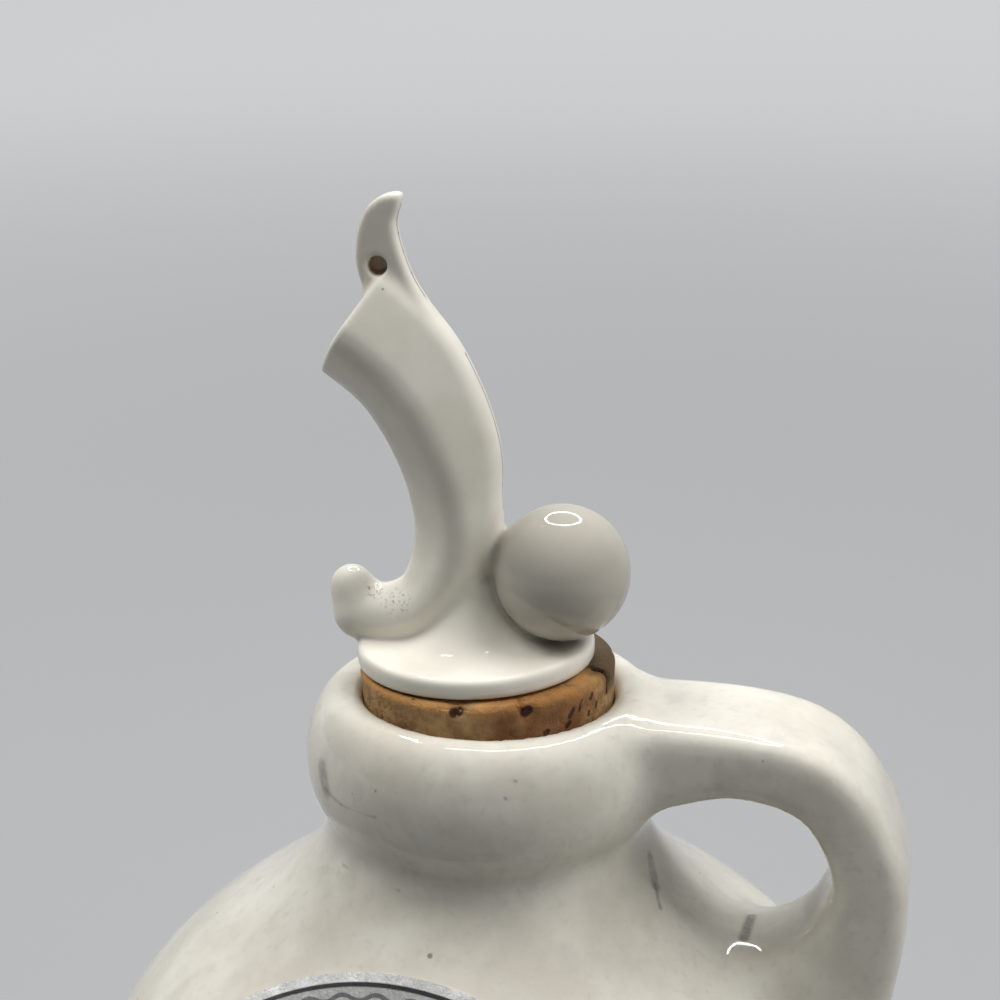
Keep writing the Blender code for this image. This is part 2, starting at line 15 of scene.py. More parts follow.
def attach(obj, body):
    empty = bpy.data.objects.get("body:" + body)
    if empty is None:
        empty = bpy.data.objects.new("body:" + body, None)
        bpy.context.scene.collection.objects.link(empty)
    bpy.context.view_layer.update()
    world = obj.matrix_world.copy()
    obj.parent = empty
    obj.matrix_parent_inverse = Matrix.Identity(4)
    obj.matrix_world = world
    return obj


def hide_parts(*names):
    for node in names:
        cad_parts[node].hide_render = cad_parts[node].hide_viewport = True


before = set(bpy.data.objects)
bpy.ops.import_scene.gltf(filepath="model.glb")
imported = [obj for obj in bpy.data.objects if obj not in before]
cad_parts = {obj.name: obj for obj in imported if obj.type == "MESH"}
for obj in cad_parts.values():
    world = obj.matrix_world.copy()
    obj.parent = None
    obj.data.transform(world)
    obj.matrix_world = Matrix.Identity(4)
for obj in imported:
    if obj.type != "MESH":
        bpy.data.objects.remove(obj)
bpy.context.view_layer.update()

# %% [markdown]
# ## Sizes
# Shapes are worked out in millimetres and turned to metres when a mesh is made. The jug stands at
# the origin. The stopper leans a little, so the cork and the pourer have upright lines of their
# own, which start at the seat on the jug's lip.

# %% Millimetres and the stem's line
MM = 0.001
JUG_HEIGHT = 157.7
SEAT_DROP = 1.4
STOPPER_LEAN = math.radians(2.1)
STEM_OFFSET = 1.5
CORK_TOP, CORK_LENGTH = 5.0, 27.0
CORK_RADIUS, CORK_TAPER = 17.2, 1.6

seat_to_row = Matrix.Translation((0, 0, JUG_HEIGHT - SEAT_DROP)) @ Matrix.Rotation(-STOPPER_LEAN, 4, "Y")
stem_to_row = seat_to_row @ Matrix.Translation((-STEM_OFFSET, 0, 0))
print("the seat is at", [round(v, 2) for v in seat_to_row.translation], "mm")

# %% [markdown]
# ## Curves in a plane
# A jug's side is a profile turned round an axis, and the horn and the handle are sections carried
# along a path. Ellipse arcs, Bezier curves and a smooth line through knots draw them all.


# %% Arcs, Bezier curves and smooth lines
def arc(centre, radii, start, stop, steps=24):
    """Points of an ellipse, or of a circle where radii is one number, between two angles."""
    angle = np.radians(np.linspace(start, stop, steps + 1))
    a, b = np.broadcast_to(radii, 2)
    return np.stack([centre[0] + a * np.cos(angle), centre[1] + b * np.sin(angle)], 1)


def bezier(p0, p1, p2, p3, steps=24):
    """Points of a cubic Bezier: its four knots weighed by the Bernstein polynomials of t."""
    t = np.linspace(0, 1, steps + 1)[:, None]
    knots = [np.asarray(p, float) for p in (p0, p1, p2, p3)]
    weights = ((1 - t) ** 3, 3 * t * (1 - t) ** 2, 3 * t * t * (1 - t), t**3)
    return sum(w * p for w, p in zip(weights, knots))


def smooth_line(knots, steps=12, closed=False):
    """A Catmull-Rom line: cubics whose slope at a knot is half the step between its neighbours."""
    p = np.asarray(knots, float)
    ends = (p[-1:], p[:2]) if closed else (2 * p[:1] - p[1:2], 2 * p[-1:] - p[-2:-1])
    p = np.vstack([ends[0], p, ends[1]])
    a, b, c, d = (p[i : len(p) - 3 + i, None] for i in range(4))
    t = np.linspace(0, 1, steps, endpoint=False)[None, :, None]
    bends = (2 * b, (c - a) * t, (2 * a - 5 * b + 4 * c - d) * t**2, (3 * b - a - 3 * c + d) * t**3)
    line = 0.5 * sum(bends).reshape(-1, p.shape[1])
    return line if closed else np.vstack([line, p[-2]])


# %% [markdown]
# ## Distance fields
# Where parts of the real jug meet, the potter wets the joint and the glaze fills it. Meshes joined
# by a Boolean would meet in a hard line, so each shape is first a field: the distance of every
# point of a grid from its surface, less than zero inside. Two fields join with a fillet when a
# small hump is taken off the smaller one where they are nearly equal. Surface nets then turn the
# joined field into one skin of quads.


# %% Joins with a fillet
def soft_join(a, b, blend):
    """The smaller of a and b, less blend / 4 times the square of how nearly they are equal."""
    near = np.maximum(blend - np.abs(a - b), 0) / blend
    return np.minimum(a, b) - near * near * blend / 4


def soft_cut(a, b, blend):
    """What is in a and not in b: the join of a's outside with b, turned inside out."""
    return -soft_join(-a, b, blend)


# %% Distance from an outline
def outline_distance(outline, u, v):
    """Distance to the nearest edge, negative where a ray sideways crosses an odd number of edges."""
    nearest = np.full(np.broadcast(u, v).shape, np.inf)
    odd = np.zeros(nearest.shape, bool)
    for (u0, v0), (u1, v1) in zip(outline, np.roll(outline, -1, 0)):
        du, dv = u1 - u0, v1 - v0
        length = du * du + dv * dv
        if length < 1e-12:
            continue
        t = np.clip(((u - u0) * du + (v - v0) * dv) / length, 0, 1)
        nearest = np.minimum(nearest, (u - u0 - t * du) ** 2 + (v - v0 - t * dv) ** 2)
        if v0 != v1:
            odd ^= ((v0 > v) != (v1 > v)) & (u < u0 + (v - v0) * du / dv)
    return np.where(odd, -1, 1) * np.sqrt(nearest)


# %% Distance from a turned shape
def turned_distance(outline, radius, heights, step=0.25):
    """The outline's distance at (radius, height): worked out on a fine line of radii, then read off."""
    line = np.arange(0, radius.max() + 2 * step, step)
    plane = outline_distance(outline, line[:, None], heights[None, :])
    levels = [np.interp(radius.ravel(), line, plane[:, k]) for k in range(len(heights))]
    return np.stack(levels, 1).reshape(*radius.shape, len(heights)).astype(np.float32)


# %% Nearest place on a path
def nearest_on(path, x, z):
    """Each point's distance from the path, the path's other values there, and the sine of its side,
    1 on the right. The nearest knot is moved by up to half a step along the path."""
    points = np.stack(np.broadcast_arrays(x[:, None], z[None, :]), -1).reshape(-1, 2)
    index = ((points[:, None] - path[None, :, :2]) ** 2).sum(2).argmin(1)
    steps = np.gradient(path[:, :2], axis=0)[index]
    share = ((points - path[index, :2]) * steps).sum(1) / (steps**2).sum(1)
    share = np.clip(share, np.where(index > 0, -0.5, 0), np.where(index < len(path) - 1, 0.5, 0))
    offset = points - path[index, :2] - share[:, None] * steps
    away = np.linalg.norm(offset, axis=1)
    side = (offset[:, 0] * steps[:, 1] - offset[:, 1] * steps[:, 0]) / np.linalg.norm(steps, axis=1)
    shape, knots = (len(x), len(z)), np.arange(len(path))
    values = [np.interp(index + share, knots, path[:, k]).reshape(shape) for k in range(2, path.shape[1])]
    return away.reshape(shape), values, (side / np.maximum(away, 1e-6)).reshape(shape)


# %% Reading a field between its grid points
def read_field(field, places):
    """The field at any place: the eight corners round it, each weighed by how near it is."""
    low = np.clip(np.floor(places).astype(int), 0, np.array(field.shape) - 2)
    part = places - low
    value = np.zeros(len(places))
    for corner in np.ndindex(2, 2, 2):
        weight = np.prod(np.where(corner, part, 1 - part), axis=1)
        value += weight * field[tuple((low + corner).T)]
    return value


def field_slope(field, places, step):
    """The field's gradient: how much it grows from one step before the place to one step after."""
    sides = np.eye(3) * step
    grown = [read_field(field, places + s) - read_field(field, places - s) for s in sides]
    return np.stack(grown, 1) / (2 * step)


# %% Surface nets
def net_vertices(field):
    """In each cell that the surface crosses, the mean of the places where it crosses the edges."""
    shape, corners = np.array(field.shape) - 1, np.array(list(np.ndindex(2, 2, 2)))
    views = [tuple(slice(c, n + c) for c, n in zip(corner, shape)) for corner in corners]
    count = sum((field[view] < 0).astype(np.int8) for view in views)
    cells = np.argwhere((count > 0) & (count < 8))
    total, crossings = np.zeros((len(cells), 3)), np.zeros(len(cells))
    for step in np.eye(3, dtype=int):
        for start in corners[corners @ step == 0]:
            a, b = (field[tuple((cells + corner).T)] for corner in (start, start + step))
            crossed = (a < 0) != (b < 0)
            t = np.where(crossed, a / np.where(crossed, a - b, 1), 0)
            total += np.where(crossed[:, None], start + t[:, None] * step, 0)
            crossings += crossed
    return cells, cells + total / crossings[:, None]


def net_quads(field, cells):
    """One quad round each grid edge that the surface crosses, from the four cells that share it."""
    number = np.full(np.array(field.shape) - 1, -1)
    number[tuple(cells.T)] = np.arange(len(cells))
    units, quads = np.eye(3, dtype=int), []
    for axis in range(3):
        b, c = units[axis - 2], units[axis - 1]
        here = np.argwhere(np.diff((field < 0).astype(np.int8), axis=axis) != 0)
        quad = np.stack([number[tuple((here - back).T)] for back in (b + c, c, 0, b)], 1)
        outward = field[tuple(here.T)] < 0
        quads.append(np.where(outward[:, None], quad, quad[:, ::-1]))
    return np.vstack(quads)


# %% A mesh from arrays
def carried(points, matrix):
    """The points turned and moved by a matrix."""
    turn = np.array(matrix)
    return points @ turn[:3, :3].T + turn[:3, 3]


def make_object(name, points, faces, normals=None):
    """A smooth object at the origin from points, in metres, and a list of faces."""
    mesh = bpy.data.meshes.new(name)
    mesh.from_pydata(points.tolist(), [], faces)
    mesh.shade_smooth()
    if normals is not None:
        mesh.normals_split_custom_set_from_vertices(normals.tolist())
    obj = bpy.data.objects.new(name, mesh)
    bpy.context.scene.collection.objects.link(obj)
    return obj


def ring_quads(index):
    """Quads between each row of point numbers and the next, closed along the rows."""
    after = np.roll(index, -1, 1)
    return np.stack([index[:-1], index[1:], after[1:], after[:-1]], -1).reshape(-1, 4)


def skin_object(name, field, low, cell, to_row):
    """The field's surface as a mesh: nets, then three steps each down the slope to distance zero."""
    cells, places = net_vertices(field)
    for _ in range(3):
        slope = field_slope(field, places, 0.5)
        value = read_field(field, places)[:, None]
        step = value * slope / np.maximum((slope**2).sum(1, keepdims=True), 1e-9)
        places = places - np.clip(step, -0.5, 0.5)
    normals = field_slope(field, places, 1.0)
    normals /= np.maximum(np.linalg.norm(normals, axis=1, keepdims=True), 1e-9)
    points = carried(low + places * cell, to_row) * MM
    turned = carried(normals, to_row.to_3x3().to_4x4())
    obj = make_object(name, points, net_quads(field, cells).tolist(), turned)
    print(name, len(points), "points", 2 * len(obj.data.polygons), "triangles")
    return obj


# %% [markdown]
# ## The jug's profile
# From the crest down: the fat round ring, a tight waist, a swept shoulder, the belly and the foot.
# Ring, shoulder and lower side are ellipses, and Bezier curves join them without a corner.

# %% Outside of the jug
BELLY_RADIUS = 61.0
BELLY_HEIGHT = JUG_HEIGHT * 0.501
SHOULDER_RISE = JUG_HEIGHT - 24.7 - BELLY_HEIGHT
SHOULDER_START, SHOULDER_SWEEP = 36.0, 8.0
CREST_RADIUS, RING_RADII, RING_END_ANGLE = 19.4, (5.5, 9.4), -50
WAIST_RADIUS, WAIST_DROP, WAIST_TIGHTNESS = 22.3, 19.7, 4.2
FOOT_RADIUS, FOOT_ROUND, FOOT_RING_WIDTH, FOOT_RECESS = 50.0, 2.5, 6.0, 1.8


def shoulder_height(radius, wall=0.0):
    """Height of the shoulder's ellipse, or of the one a wall further in, at a radius."""
    share = radius / (BELLY_RADIUS - wall)
    return BELLY_HEIGHT + (SHOULDER_RISE - wall) * np.sqrt(1 - share * share)


def shoulder_slope(radius, wall=0.0):
    """Fall of that ellipse for each millimetre outwards, from its equation's derivative."""
    ratio = (SHOULDER_RISE - wall) / (BELLY_RADIUS - wall)
    return ratio**2 * radius / (shoulder_height(radius, wall) - BELLY_HEIGHT)


def up_shoulder(radius, length, wall=0.0):
    """A step of that length up along the shoulder."""
    step = np.array([-1.0, shoulder_slope(radius, wall)])
    return step * (length / np.linalg.norm(step))


def lower_side(foot_radius, low, wall=0.0):
    """The lower side's ellipse, from the belly down to a radius and a height near the foot."""
    share = foot_radius / (BELLY_RADIUS - wall)
    radii = BELLY_RADIUS - wall, (BELLY_HEIGHT - low) / math.sqrt(1 - share**2)
    return arc((0, BELLY_HEIGHT), radii, 0, -math.degrees(math.acos(share)), 40)


def jug_outside():
    """The outside's profile as radius and height, from the ring's crest to the foot's edge."""
    ring = arc((CREST_RADIUS, JUG_HEIGHT - RING_RADII[1]), RING_RADII, 90, RING_END_ANGLE, 40)
    leaving = (ring[-1] - ring[-2]) / np.linalg.norm(ring[-1] - ring[-2]) * (WAIST_TIGHTNESS / 2)
    waist = np.array([WAIST_RADIUS, JUG_HEIGHT - WAIST_DROP])
    under = bezier(ring[-1], ring[-1] + leaving, waist + (0, WAIST_TIGHTNESS / 4), waist, 12)
    landing = np.array([SHOULDER_START, shoulder_height(SHOULDER_START)])
    before = landing + up_shoulder(SHOULDER_START, SHOULDER_SWEEP)
    sweep = bezier(waist, waist - (0, WAIST_TIGHTNESS), before, landing, 30)
    start = math.degrees(math.acos(SHOULDER_START / BELLY_RADIUS))
    shoulder = arc((0, BELLY_HEIGHT), (BELLY_RADIUS, SHOULDER_RISE), start, 0, 40)
    side = lower_side(FOOT_RADIUS, FOOT_ROUND)
    edge = arc((FOOT_RADIUS - FOOT_ROUND, FOOT_ROUND), FOOT_ROUND, 0, -90, 8)
    return np.vstack([ring, under[1:], sweep[1:], shoulder[1:], side[1:], edge[1:]])


outside = jug_outside()
print("the jug is", outside[:, 0].max() * 2, "mm wide")

# %% [markdown]
# The inside follows the outside a wall further in. At the top it is the cork's bore, and the lip
# rolls over to the ring's crest. Above it the hollow's outline runs straight up, so that cutting
# it from the solid jug leaves the mouth open.

# %% Inside of the jug
WALL, FLOOR = 5.0, 6.0
NECK_DEPTH, NECK_FLARE, LIP_ROUND = 28.5, 4.0, 2.0
INNER_SHOULDER_START = 26.0
BORE_ROOM, CUT_OVERRUN = 0.08, 12


def bore_radius(depth):
    """Radius of the neck under the crest: the leaning, tapering cork's, and some room."""
    height = SEAT_DROP - depth
    cork = CORK_RADIUS - CORK_TAPER * (CORK_TOP - height) / CORK_LENGTH
    return cork / math.cos(STOPPER_LEAN) + abs(height) * math.sin(STOPPER_LEAN) + BORE_ROOM


def jug_hollow():
    """The hollow's closed outline, from the middle of the floor to above the lip and back."""
    inner, floor_radius = BELLY_RADIUS - WALL, FOOT_RADIUS - WALL
    corner = arc((floor_radius - WALL, FLOOR + WALL), WALL, -90, 0, 8)
    side = lower_side(floor_radius, FLOOR + WALL, WALL)[::-1]
    stop = math.degrees(math.acos(INNER_SHOULDER_START / inner))
    shoulder = arc((0, BELLY_HEIGHT), (inner, SHOULDER_RISE - WALL), 0, stop, 40)
    after = shoulder[-1] + up_shoulder(INNER_SHOULDER_START, NECK_FLARE, WALL)
    throat = np.array([bore_radius(NECK_DEPTH), JUG_HEIGHT - NECK_DEPTH])
    flare = bezier(shoulder[-1], after, throat - (0, NECK_FLARE), throat, 20)
    roll = (CREST_RADIUS - bore_radius(LIP_ROUND), LIP_ROUND)
    lip = arc((CREST_RADIUS, JUG_HEIGHT - LIP_ROUND), roll, 180, 90, 12)
    above = [(CREST_RADIUS, JUG_HEIGHT + CUT_OVERRUN), (0, JUG_HEIGHT + CUT_OVERRUN)]
    return np.vstack([(0, FLOOR), corner, side[1:], shoulder[1:], flare[1:], lip, above])


hollow = jug_hollow()
print("the neck's bore is", round(2 * bore_radius(LIP_ROUND), 2), "mm wide at the lip")

# %% [markdown]
# ## The handle
# A pulled strap: thick and square-shouldered at the ring, thinner round the outside of the loop,
# and spread out at its foot, where the potter pressed it on to the shoulder. Each knot gives its
# middle, as shares of its reach and of its fall to the shoulder, its thickness, its width and how
# square it is. The section is a superellipse, and the distance from it is how far its formula is
# from 1, divided by how fast that grows.

# %% Distance from the handle
HANDLE_REACH, HANDLE_THICKNESS, HANDLE_WIDTH = 52.8, 14.8, 18.4
HANDLE_LANDING_SHARE = 0.84
HANDLE_KNOTS = np.array([
    (0.370, 0.185, 0.86, 1.08, 6.0), (0.426, 0.168, 0.86, 1.10, 6.0), (0.511, 0.146, 0.77, 1.10, 6.0),
    (0.644, 0.128, 0.63, 1.10, 6.0), (0.786, 0.155, 0.62, 1.08, 6.0), (0.884, 0.228, 0.64, 1.06, 5.0),
    (0.953, 0.355, 0.66, 1.05, 4.5), (0.989, 0.490, 0.69, 1.04, 4.2), (0.987, 0.600, 0.75, 1.03, 4.0),
    (0.970, 0.710, 0.87, 1.03, 3.6), (0.937, 0.820, 1.07, 1.06, 3.2), (0.890, 0.925, 1.41, 1.18, 2.9),
    (0.824, 1.050, 1.90, 1.36, 2.9), (0.786, 1.186, 2.03, 1.41, 2.9),
])


def handle_distance(x, y, z):
    """Distance from the strap on the grid of x, y and z."""
    fall = JUG_HEIGHT - shoulder_height(HANDLE_REACH * HANDLE_LANDING_SHARE)
    knots = HANDLE_KNOTS * (HANDLE_REACH, -fall, HANDLE_THICKNESS / 2, HANDLE_WIDTH / 2, 1)
    path = smooth_line(knots + (0, JUG_HEIGHT, 0, 0, 0), 16)
    away, values, _ = nearest_on(path, x, z)
    thick, wide, power = (value[:, None, :] for value in values)
    u, v = away[:, None, :] / thick + 1e-6, np.abs(y)[None, :, None] / wide + 1e-6
    size = (u**power + v**power) ** (1 / power)
    growth_u, growth_v = (u / size) ** (power - 1) / thick, (v / size) ** (power - 1) / wide
    return (size - 1) / np.sqrt(growth_u**2 + growth_v**2)


# %% The jug's skin
JUG_CELL = 1.3
STRAP_BEGINS, FAR_AWAY = 8, 50.0
FILLET_HEIGHTS, FILLETS = (106, 114, 124, 134, 144), (10, 5, 4, 4.5, 3.0)
LIP_BLEND = 0.4
x = np.arange(-64, 64, JUG_CELL)
z = np.arange(-2.5, JUG_HEIGHT + 6, JUG_CELL)
radius = np.hypot(x[:, None], x[None, :])
rest = FOOT_RADIUS - FOOT_ROUND - FOOT_RING_WIDTH
foot = [(rest, 0), (rest - FOOT_RECESS, FOOT_RECESS), (0, FOOT_RECESS), (0, JUG_HEIGHT)]
body = turned_distance(np.vstack([outside, foot]), radius, z)
strap = np.where(x[:, None, None] > STRAP_BEGINS, handle_distance(x, x, z), FAR_AWAY)
jug_field = soft_join(body, strap, np.interp(z, FILLET_HEIGHTS, FILLETS)[None, None, :])
jug_field = soft_cut(jug_field, turned_distance(hollow, radius, z), LIP_BLEND)
jug = skin_object("jug_skin", jug_field, np.array([x[0], x[0], z[0]]), JUG_CELL, Matrix())
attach(jug, "jug")
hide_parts("jug_body", "jug_handle")

# %% [markdown]
# ## The pourer
# The horn's middle line runs from the curl along the flange, up the shaft and out to the mouth.
# Each half of its section is two planes, the inner side and the back, which slope up to a ridge
# that faces the viewer. The back ends in a narrow flat edge, where the mould parted. Near the curl
# the section turns into a circle. A knot gives the line's place, half the section's width, the
# edge's reach beyond it, the ridge's place, the ridged share and half the edge's thickness.

# %% The horn's distance
RIM = 8.0
HORN_HEIGHT, MOUTH_TILT = 42.7, math.radians(36)
MOUTH = np.array([-15.2, RIM + HORN_HEIGHT])
CURL_RADIUS, HORN_GROWTH, KEEL = 3.9, 3.15, 2.2
RIDGE_BLEND, EDGE_BLEND = 2.6, 1.6
SPINE_ROUND, SPINE_DROP = 3.0, 1.73
AIM = np.array([-math.cos(MOUTH_TILT), math.sin(MOUTH_TILT)])
HORN_KNOTS = np.array([
    (1.03, 0.070, 0.05, 0.0, 0.30, 0.0, 1.8), (0.80, 0.065, 0.10, 0.0, 0.41, 0.5, 1.8),
    (0.55, 0.087, 0.22, 0.0, 0.42, 0.9, 1.8), (0.355, 0.138, 0.35, 0.0, 0.47, 1.0, 1.6),
    (0.20, 0.239, 0.49, 0.0, 0.54, 1.0, 1.2), (0.125, 0.361, 0.62, 0.1, 0.56, 1.0, 1.1),
    (0.138, 0.473, 0.73, 0.2, 0.54, 1.0, 1.1), (0.20, 0.600, 0.89, 0.4, 0.49, 1.0, 1.1),
    (0.37, 0.742, 0.94, 0.7, 0.45, 1.0, 1.1), (0.62, 0.871, 0.97, 1.0, 0.42, 1.0, 1.1),
    (1.0, 1.0, 1.16, 0.7, 0.42, 1.0, 1.1), (1.45, 1.116, 1.24, 0.6, 0.42, 1.0, 1.1),
])
horn_scale = (MOUTH[0], HORN_HEIGHT, HORN_GROWTH, KEEL, 1, 1, 1)
horn_path = smooth_line(HORN_KNOTS * horn_scale + (0, RIM, CURL_RADIUS, 0, 0, 0, 0))


def tube_distance(path, x, y, z):
    """Distance from the path in the XZ plane less the radius there."""
    away, values, _ = nearest_on(path, x, z)
    return np.sqrt(away[:, None, :] ** 2 + y[None, :, None] ** 2) - values[0][:, None, :]


def soft_limit(a, b, blend):
    """What is in both a and b: the larger distance, with a rounded edge."""
    return -soft_join(-a, -b, blend)


def plane_distance(across, deep, start, stop):
    """Distance from the line between two places of the section, more than zero on its outer side."""
    run, rise = stop[0] - start[0], stop[1] - start[1]
    return ((deep - start[1]) * run - (across - start[0]) * rise) / np.sqrt(run * run + rise * rise)


def horn_distance(x, y, z):
    """Distance from the ridged section, which turns into a circle where its share is 0."""
    away, values, side = nearest_on(horn_path, x, z)
    half, keel, place, ridged, edge = (value[:, None, :] for value in values)
    across, width = (away * side)[:, None, :] + half, 2 * half + keel
    deep = np.sqrt(y * y + SPINE_ROUND)[None, :, None] - SPINE_DROP
    ridge = (place * width, 0.8 + 0.65 * half)
    inner = plane_distance(across, deep, (0, 0), ridge)
    back = plane_distance(across, deep, ridge, (width, edge))
    section = soft_limit(soft_limit(inner, back, RIDGE_BLEND), across - width, EDGE_BLEND)
    circle = np.sqrt(away[:, None, :] ** 2 + y[None, :, None] ** 2) - half
    return circle + (section - circle) * np.clip(ridged, 0, 1)


# %% The ear's plate
EAR_KNOTS = np.array([
    (-12.41, 54.48), (-12.98, 56.30), (-13.48, 58.51), (-13.50, 60.83), (-12.96, 63.41), (-11.75, 65.96),
    (-9.81, 67.49), (-7.96, 67.87), (-7.25, 67.40), (-7.50, 66.20), (-8.10, 64.35), (-8.00, 62.55),
    (-7.46, 60.23), (-6.50, 57.40), (-5.12, 54.50), (-3.75, 51.10), (-2.60, 47.90), (-3.60, 45.60),
    (-8.50, 49.50),
])
EAR_HALF_THICKNESS, EAR_RIM = 1.6, 0.8
EAR_HOLE, EAR_HOLE_RADIUS = (-10.61, 58.62), 1.3


def ear_distance(x, y, z):
    """A plate with round rims: drawn in by the rim's radius, and the distance that much smaller."""
    plane = outline_distance(smooth_line(EAR_KNOTS, 8, closed=True), x[:, None], z[None, :])[:, None, :]
    a, b = plane + EAR_RIM, np.abs(y)[None, :, None] - EAR_HALF_THICKNESS + EAR_RIM
    outer = np.sqrt(np.maximum(a, 0) ** 2 + np.maximum(b, 0) ** 2)
    return outer + np.minimum(np.maximum(a, b), 0) - EAR_RIM


# %% [markdown]
# The flange is turned, with a steep hill in its middle that the horn and the ball share, and the
# stem under it. A small knob ends the curl. The glaze fills the crease between ball and horn, and
# a small ball the gap under the large one, while the horn keeps a crisp line on the flange. The
# ear's pin hole is blind: a thin web is left in the middle of the plate.

# %% Flange, hill and stem
STEM_RADIUS, STEM_END, STEM_EDGE = 6.0, CORK_TOP - CORK_LENGTH - 2.0, 0.6
FLANGE_RADIUS, FLANGE_UNDERSIDE = 16.0, 5.3
FLANGE_TOP_EDGE, FLANGE_LOW_EDGE = 0.9, 0.5
HILL_RADIUS, HILL_RISE, HILL_POWER = 3.6, 8.4, 4.6


def foot_outline():
    """Radius and height, from the top of the hill over the flange's rim and down the stem."""
    top, low, end = FLANGE_TOP_EDGE, FLANGE_LOW_EDGE, STEM_EDGE
    radius = np.linspace(HILL_RADIUS, FLANGE_RADIUS - top, 30)
    hill = RIM + HILL_RISE * ((FLANGE_RADIUS - radius) / (FLANGE_RADIUS - HILL_RADIUS)) ** HILL_POWER
    peak = [(0, RIM + HILL_RISE + 0.4), (HILL_RADIUS - 0.6, RIM + HILL_RISE + 0.4)]
    rim = arc((FLANGE_RADIUS - top, RIM - top), top, 90, 0, 8)
    under = arc((FLANGE_RADIUS - low, FLANGE_UNDERSIDE + low), low, 0, -90, 6)
    stem = [(STEM_RADIUS, FLANGE_UNDERSIDE), (STEM_RADIUS, STEM_END + end), (STEM_RADIUS - end, STEM_END)]
    return np.vstack([peak, np.stack([radius, hill], 1), rim[1:], under, stem, [(0, STEM_END)]])


# %% The way through, as places and radii: up the stem, round a bend, up the shaft and out
WALL_AT_MOUTH, NARROW_RADIUS = 1.3, 2.6
CHANNEL_KNOTS = [
    (0, STEM_END - 4, 2.8), (0, 5.0, 2.8), (-1.52, 11.1, 2.8), (-2.9, 16.2, 2.6), (-2.1, 23.4, 2.6),
    (-3.3, 33.6, 3.0), (-5.9, 39.7, 4.2), (-9.6, 45.0, 4.9),
]
middle = MOUTH - (0.4, 0.6)
wide = smooth_line([*CHANNEL_KNOTS, (*middle, 5.3), (*(middle + 6 * AIM), 5.6)])
narrow = np.column_stack([wide[:, :2], np.minimum(wide[:, 2], NARROW_RADIUS)])

# %% The pourer's skin
POURER_CELL = 0.4
BALL, BALL_RADIUS = (12.1, 17.6), 9.1
PIN_WEB, PIN_WEB_MIDDLE = 0.4, 0.7


def ball_distance(middle, radius):
    """Distance of the grid's points from a ball whose middle is in the XZ plane."""
    return np.sqrt((X - middle[0]) ** 2 + Y**2 + (Z - middle[1]) ** 2) - radius


x = np.arange(-23.5, 24.5, POURER_CELL)
y = np.arange(-18.1, 18.5, POURER_CELL)
z = np.arange(STEM_END - 2, 71, POURER_CELL)
X, Y, Z = x[:, None, None], y[None, :, None], z[None, None, :]

mouth_plane = (X - MOUTH[0]) * AIM[0] + (Z - MOUTH[1]) * AIM[1]
solid = horn_distance(x, y, z)
horn = soft_limit(solid, mouth_plane, 0.9)
horn = soft_join(horn, ball_distance((-17.0, 14.5), 2.9), 1.8)
horn = soft_join(horn, ear_distance(x, y, z), 1.2)
base = turned_distance(foot_outline(), np.hypot(x[:, None], y[None, :]), z, 0.2)
base = soft_join(base, ball_distance((7.2, 10.2), 2.8), 1.0)
pourer_field = soft_join(soft_join(horn, ball_distance(BALL, BALL_RADIUS), 1.8), base, 1.0)
channel = soft_limit(tube_distance(wide, x, y, z), solid + WALL_AT_MOUTH, 1.0)
channel = soft_join(channel, tube_distance(narrow, x, y, z), 0.8)
pourer_field = soft_cut(pourer_field, channel, 0.5)
pin = np.sqrt((X - EAR_HOLE[0]) ** 2 + (Z - EAR_HOLE[1]) ** 2) - EAR_HOLE_RADIUS
pin = soft_limit(pin, PIN_WEB - np.abs(Y - PIN_WEB_MIDDLE), 0.2)
pourer_field = soft_cut(pourer_field, pin, 0.3)
pourer = skin_object("pourer_skin", pourer_field, np.array([x[0], y[0], z[0]]), POURER_CELL, stem_to_row)
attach(pourer, "pourer")
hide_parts("pourer_foot", "pourer_horn", "pourer_ball")

# %% [markdown]
# ## The cork
# A tapered plug of natural cork: a closed profile turned round, its bore shifted to the stem's
# line. Wear and pores are dents: each takes the depth of a bell curve off the surface.

# %% Cork
CORK_HOLE_RADIUS, CORK_TURNS = 6.3, 420
CORK_EDGE, CORK_LOW_EDGE = 1.0, 0.8


def cork_profile():
    """The ring's section as radius and height, from the bore's top edge outwards and round."""
    low, end = CORK_TOP - CORK_LENGTH, CORK_RADIUS - CORK_TAPER
    edge = arc((CORK_RADIUS - CORK_EDGE, CORK_TOP - CORK_EDGE), CORK_EDGE, 90, 0, 10)
    heights = np.linspace(CORK_TOP - CORK_EDGE, low + CORK_LOW_EDGE, 60)
    side = np.stack([np.linspace(CORK_RADIUS, end, 60), heights], 1)
    top = np.stack([np.linspace(CORK_HOLE_RADIUS, 15.8, 30), np.full(30, CORK_TOP)], 1)
    return np.vstack([top, edge, side[1:], [(end - CORK_LOW_EDGE, low), (CORK_HOLE_RADIUS, low)]])


# Each worn place: degrees round the cork, height, half width, half height and depth
CORK_WEAR = [
    (-91.1, 4.4, 1.5, 0.9, 0.9), (-59.6, 3.9, 1.2, 0.9, 0.8), (-62.5, 4.6, 0.5, 1.6, 0.5),
    (-9.5, 4.6, 0.35, 1.8, 1.0), (-9.5, 2.9, 0.3, 1.3, 0.7), (-29.4, 2.4, 0.7, 1.0, 0.4),
]


